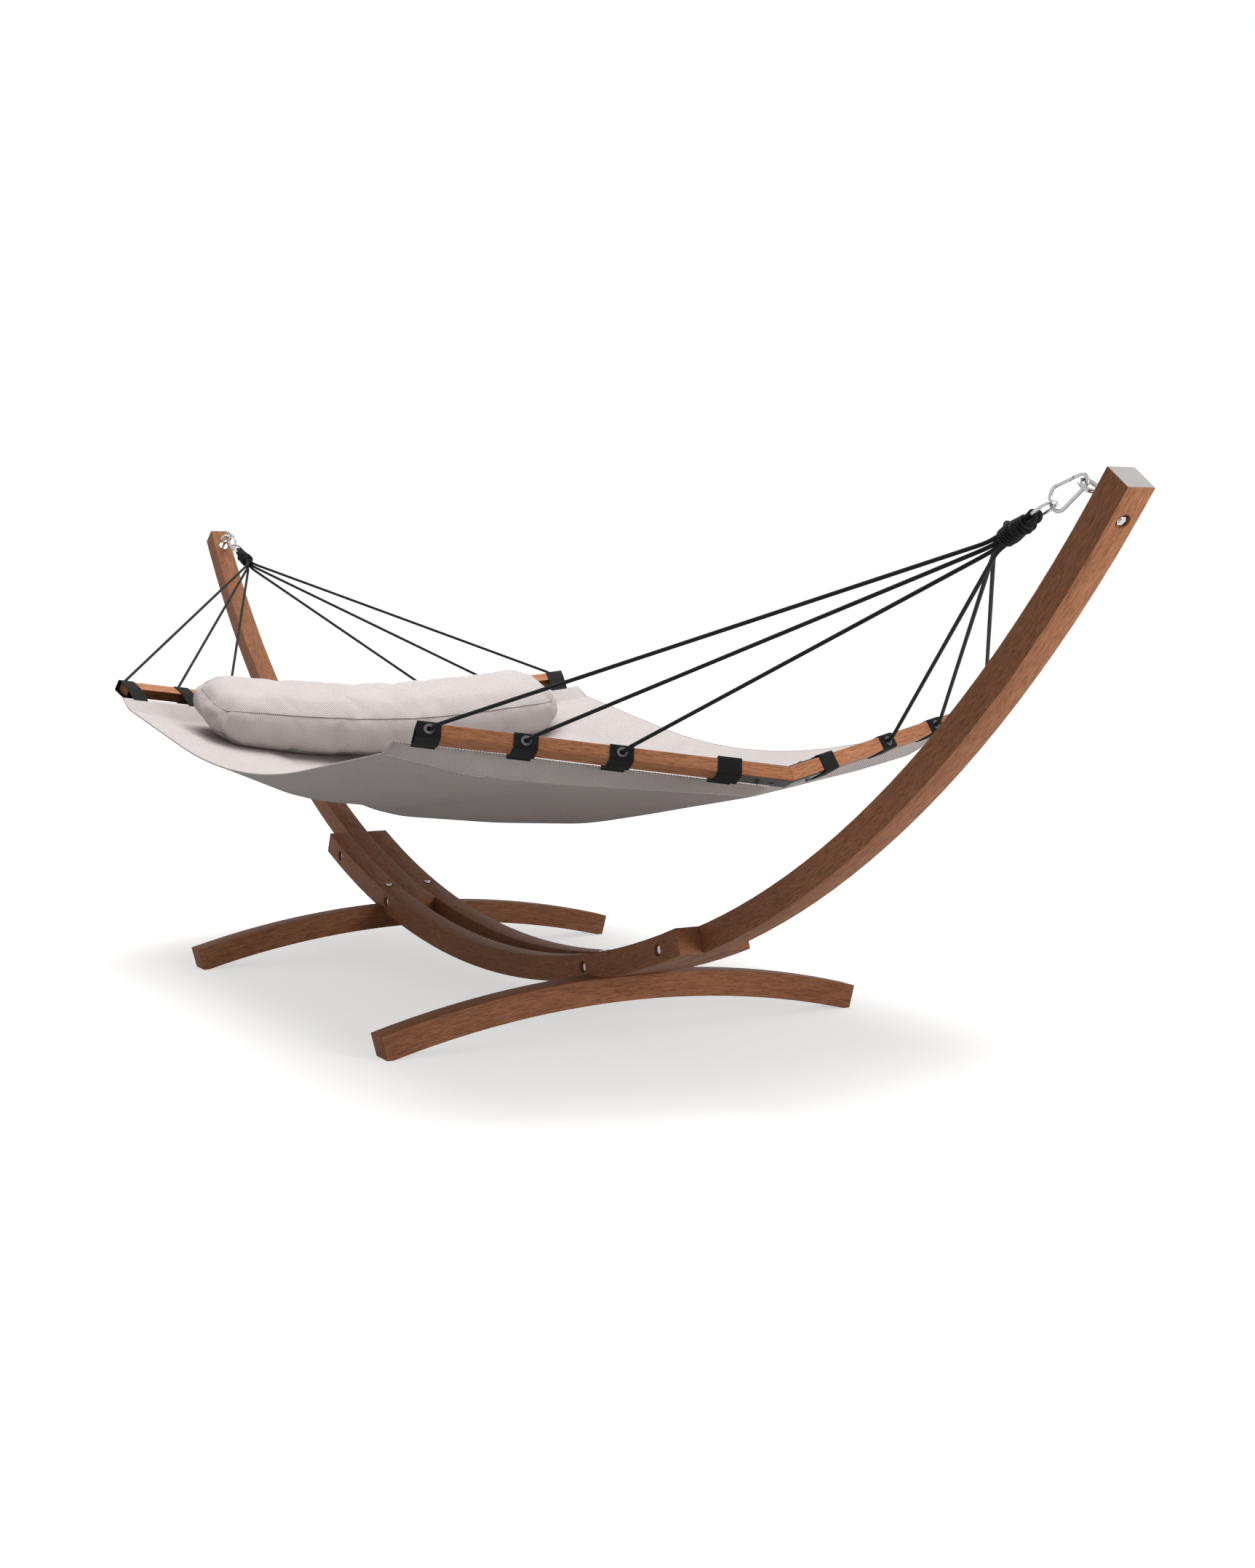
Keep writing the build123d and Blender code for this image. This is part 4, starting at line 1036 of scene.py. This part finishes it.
def sliced_box(mesh, size, cell):
    """Box cut into near square faces, with each panel's own flat coordinates."""
    layer = mesh.loops.layers.uv.verify()
    bmesh.ops.create_cube(mesh, size=1.0)
    bmesh.ops.scale(mesh, vec=size, verts=mesh.verts)
    for axis in range(3):
        count = round(size[axis] / cell)
        for cut in range(1, count):
            middle = Vector((0, 0, 0))
            middle[axis] = size[axis] * (cut / count - 0.5)
            normal = Vector((0, 0, 0))
            normal[axis] = 1
            bmesh.ops.bisect_plane(mesh, geom=mesh.verts[:] + mesh.edges[:] + mesh.faces[:],
                                   plane_co=middle, plane_no=normal)
    for face in mesh.faces:
        flat = [axis for axis in range(3) if abs(face.normal[axis]) < 0.5]
        for loop in face.loops:
            spot = loop.vert.co
            loop[layer].uv = (spot[flat[0]], spot[flat[1]])


def pillow_shape(spot):
    """A box point moved to the pillow's crowned, round edged form, before its bend and tilt."""
    half = [size / 2 for size in PILLOW_SIZE]
    share = [spot[axis] / half[axis] for axis in range(3)]
    x, y, z = spot
    below = half[2] - abs(z)
    rim = min(half[0] - abs(x), half[1] - abs(y))
    pull = PILLOW_ROUNDING * (1 - cos(pi / 4))
    height = abs(z)
    if rim > 1e-6:
        inset = PILLOW_ROUNDING - min(pull + rim, PILLOW_ROUNDING)
        height = half[2] - PILLOW_ROUNDING + sqrt(PILLOW_ROUNDING ** 2 - inset ** 2)
    else:
        angle = pi / 4 * max(0.0, 1 - below / PILLOW_ROUNDING)
        pull = PILLOW_ROUNDING * (1 - cos(angle))
        if angle:
            height = half[2] - PILLOW_ROUNDING * (1 - sin(angle))
    x *= 1 - pull / half[0]
    y *= 1 - pull / half[1]
    z = height if z > 0 else -height
    corner_x, corner_y = half[0] - PILLOW_CORNER, half[1] - PILLOW_CORNER
    over = Vector((max(0.0, abs(x) - corner_x), max(0.0, abs(y) - corner_y)))
    if over.x > 0 and over.y > 0:
        over = over.normalized() * max(over.x, over.y)
        x = (corner_x + over.x) * (1 if x > 0 else -1)
        y = (corner_y + over.y) * (1 if y > 0 else -1)
    belly = 1 - share[2] ** 2
    x += SIDE_BULGE * belly * share[0] * abs(share[0]) ** 3
    y += SIDE_BULGE * belly * share[1] * abs(share[1]) ** 24
    edge = (1 - abs(share[0]) ** 3) * (1 - abs(share[1]) ** 12)
    crown = (TOP_CROWN if z > 0 else LOW_CROWN) * edge
    drop = END_DROP * abs(share[1]) ** 9
    z = z * (1 - drop / half[2]) + crown * share[2]
    return Vector((x, y, z))


def crease(piece):
    """Soft pulls across the middle of the pillow's top."""
    for vertex in piece.data.vertices:
        if vertex.normal.z > 0.6:
            x, y, _ = vertex.co
            hold = max(0.0, 1 - (2 * y / PILLOW_SIZE[1]) ** 2)
            pull = noise.noise(Vector((x * 7.0 + y * 3.0, y * 24.0, 5.0)))
            vertex.co.z += CREASE_HEIGHT * hold * pull


def pillow():
    """Boxed pillow: two panels and a gusset, puffed by a cloth simulation and laid on the bed."""
    mesh = bmesh.new()
    sliced_box(mesh, PILLOW_SIZE, PILLOW_CELL)
    seams = mesh.verts.layers.int.new("seam")
    for corner in mesh.verts:
        on_x, on_y, on_z = [abs(abs(place) - size / 2) < 1e-5 for place, size in zip(corner.co, PILLOW_SIZE)]
        if on_z and (on_x or on_y):
            corner[seams] = 1 if corner.co.z > 0 else 2
        corner.co = pillow_shape(corner.co)
    lay_pillow(mesh)
    piece = make_piece("pillow_cover", mesh, PILLOW_CLOTH, ["pillow"], body="pillow")
    puff(piece)
    crease(piece)
    clear_of_bed(piece)
    smooth = piece.modifiers.new("smooth", "SUBSURF")
    smooth.levels = smooth.render_levels = 1
    return piece


def lay_pillow(mesh):
    """Bends the pillow's ends up, tilts it back and sets it over the bed."""
    turn = Matrix.Rotation(PILLOW_TILT, 4, "Y")
    for corner in mesh.verts:
        spot = corner.co.copy()
        bend = PILLOW_BEND * (spot.y / (PILLOW_SIZE[1] / 2)) ** 2
        spot = turn @ spot
        spot.z += bend
        spot.x += PILLOW_X
        corner.co = spot
    lift = max(bed_top(corner.co.x, corner.co.y) - corner.co.z for corner in mesh.verts)
    bmesh.ops.translate(mesh, vec=(0, 0, lift + PILLOW_CLEAR), verts=mesh.verts)


def clear_of_bed(piece):
    """Lifts whatever of the pillow came down into the bed."""
    for vertex in piece.data.vertices:
        least = bed_top(vertex.co.x, vertex.co.y) + PILLOW_CLEAR
        if vertex.co.z < least:
            vertex.co.z = least


def puff(piece):
    """Cloth simulation with air in the cover and its seams held, applied to the mesh."""
    seams = piece.data.attributes["seam"]
    held = piece.vertex_groups.new(name="held")
    held.add([index for index, mark in enumerate(seams.data) if mark.value], 0.35, "REPLACE")
    start = [vertex.co.copy() for vertex in piece.data.vertices]
    cloth = piece.modifiers.new("air", "CLOTH")
    cloth.settings.use_pressure = True
    cloth.settings.uniform_pressure_force = 3.2
    cloth.settings.tension_stiffness = 12
    cloth.settings.compression_stiffness = 12
    cloth.settings.bending_stiffness = 0.3
    cloth.settings.shrink_min = -0.03
    cloth.settings.vertex_group_mass = "held"
    cloth.settings.pin_stiffness = 1.0
    cloth.settings.effector_weights.gravity = 0
    cloth.collision_settings.use_collision = False
    scene = bpy.context.scene
    for step in range(PUFF_FRAMES):
        scene.frame_set(step + 1)
    puffed = piece.evaluated_get(bpy.context.evaluated_depsgraph_get())
    places = [vertex.co.copy() for vertex in puffed.to_mesh().vertices]
    puffed.to_mesh_clear()
    piece.modifiers.remove(cloth)
    scene.frame_set(1)
    for vertex, before, after in zip(piece.data.vertices, start, places):
        moved = after - before
        if moved.length > PUFF_LIMIT:
            moved = moved.normalized() * PUFF_LIMIT
        vertex.co = before + moved


def pillow_seams(piece):
    """Thin welts that follow the cover's two sewn seams, coloured dark as painted shadow along the seam lines.
    """
    mesh = bmesh.new()
    source = bmesh.new()
    source.from_mesh(piece.data)
    marks = source.verts.layers.int["seam"]
    for mark in (1, 2):
        start = next(corner for corner in source.verts if corner[marks] == mark)
        walk, last = [start], None
        while True:
            ahead = [edge.other_vert(walk[-1]) for edge in walk[-1].link_edges]
            ahead = [corner for corner in ahead if corner[marks] == mark and corner is not last]
            if not ahead or (len(walk) > 2 and start in ahead):
                break
            last = walk[-1]
            walk.append(ahead[0])
        spots = [corner.co.copy() for corner in walk]
        path = [(spots[index - 1] + spot * 6 + spots[(index + 1) % len(spots)]) / 8
                for index, spot in enumerate(spots)]
        add_cord(mesh, evenly(path + path[:1], 400), WELT_DIAMETER, sides=6, step=0.006, relief=0.0)
    source.free()
    make_piece("pillow_welts_painted_shadow", mesh, PAINTED_SEAM_SHADOW, body="pillow")


# Studio

def studio():
    """White floor and surround, soft lamps and the camera."""
    scene = bpy.context.scene
    scene.world = bpy.data.worlds.new("studio")
    nodes = Nodes(scene.world)
    light = nodes.node("ShaderNodeBackground", sockets={"Color": (1.0, 0.985, 0.975), "Strength": 0.36})
    white = nodes.node("ShaderNodeBackground", sockets={"Color": (1.0, 1.0, 1.0), "Strength": 1.0})
    both = nodes.node("ShaderNodeMixShader",
                      sockets={0: nodes.seen_rays(), 1: light.outputs[0], 2: white.outputs[0]})
    nodes.node("ShaderNodeOutputWorld", sockets={"Surface": both.outputs[0]})

    mesh = bmesh.new()
    bmesh.ops.create_grid(mesh, x_segments=1, y_segments=1, size=30)
    data = bpy.data.meshes.new("floor")
    mesh.to_mesh(data)
    mesh.free()
    data.materials.append(floor_finish())
    floor = linked("floor", data)

    lamp("overhead", (-0.7, 0.2, 3.7), (0.0, 0.0, 0.4), 3.2, 88)
    lamp("toe_side", (4.3, 1.3, 1.0), (2.0, 0.0, 1.05), 1.3, 36)

    data = bpy.data.cameras.new("camera")
    camera = linked("camera", data)
    level = cos(CAMERA_PITCH)
    way = Vector((-cos(CAMERA_YAW) * level, sin(CAMERA_YAW) * level, sin(CAMERA_PITCH)))
    camera.location = CAMERA_PLACE
    camera.rotation_euler = way.to_track_quat("-Z", "Y").to_euler()
    data.sensor_width = 36
    data.lens = CAMERA_LENS
    data.shift_x, data.shift_y = CAMERA_SHIFT
    data.clip_end = 100
    scene.camera = camera
    scene.view_settings.view_transform = "Standard"


def floor_finish():
    """Matt floor that looks white, by more glow of its own further out, and takes the shadow."""
    material = bpy.data.materials.new("white_floor")
    nodes = Nodes(material)
    place = nodes.node("ShaderNodeTexCoord").outputs["Object"]
    out = nodes.number("ShaderNodeVectorMath", {"operation": "LENGTH"}, {0: place}, "Value")
    glow = nodes.number("ShaderNodeMapRange", {"interpolation_type": "SMOOTHSTEP"},
                        {"Value": out, "From Min": 0.9, "From Max": 3.0, "To Min": 0.56, "To Max": 0.92})
    matt = nodes.node("ShaderNodeBsdfDiffuse", sockets={"Color": (0.56, 0.555, 0.55)})
    light = nodes.node("ShaderNodeEmission", sockets={"Strength": nodes.seen_rays() * glow})
    both = nodes.node("ShaderNodeAddShader", sockets={0: matt.outputs[0], 1: light.outputs[0]})
    nodes.node("ShaderNodeOutputMaterial", sockets={"Surface": both.outputs[0]})
    return material


def lamp(name, place, target, size, power):
    """Large soft lamp aimed at a point."""
    data = bpy.data.lights.new(name, "AREA")
    data.size = size
    data.energy = power
    data.spread = radians(120)
    made = linked(name, data)
    made.location = place
    made.rotation_euler = (Vector(target) - Vector(place)).to_track_quat("-Z", "Y").to_euler()


studio()
for end_name, end_sign in ENDS:
    ropes(end_name, end_sign)
    lashing(end_name, end_sign)
    bundle(end_name, end_sign)
    knots(end_name, end_sign)
    straps(end_name, end_sign)
dress_cad_nodes()
cloth_bed = bed()
bindings = side_bindings()
stitches = hem_stitches()
cover = pillow()
pillow_seams(cover)
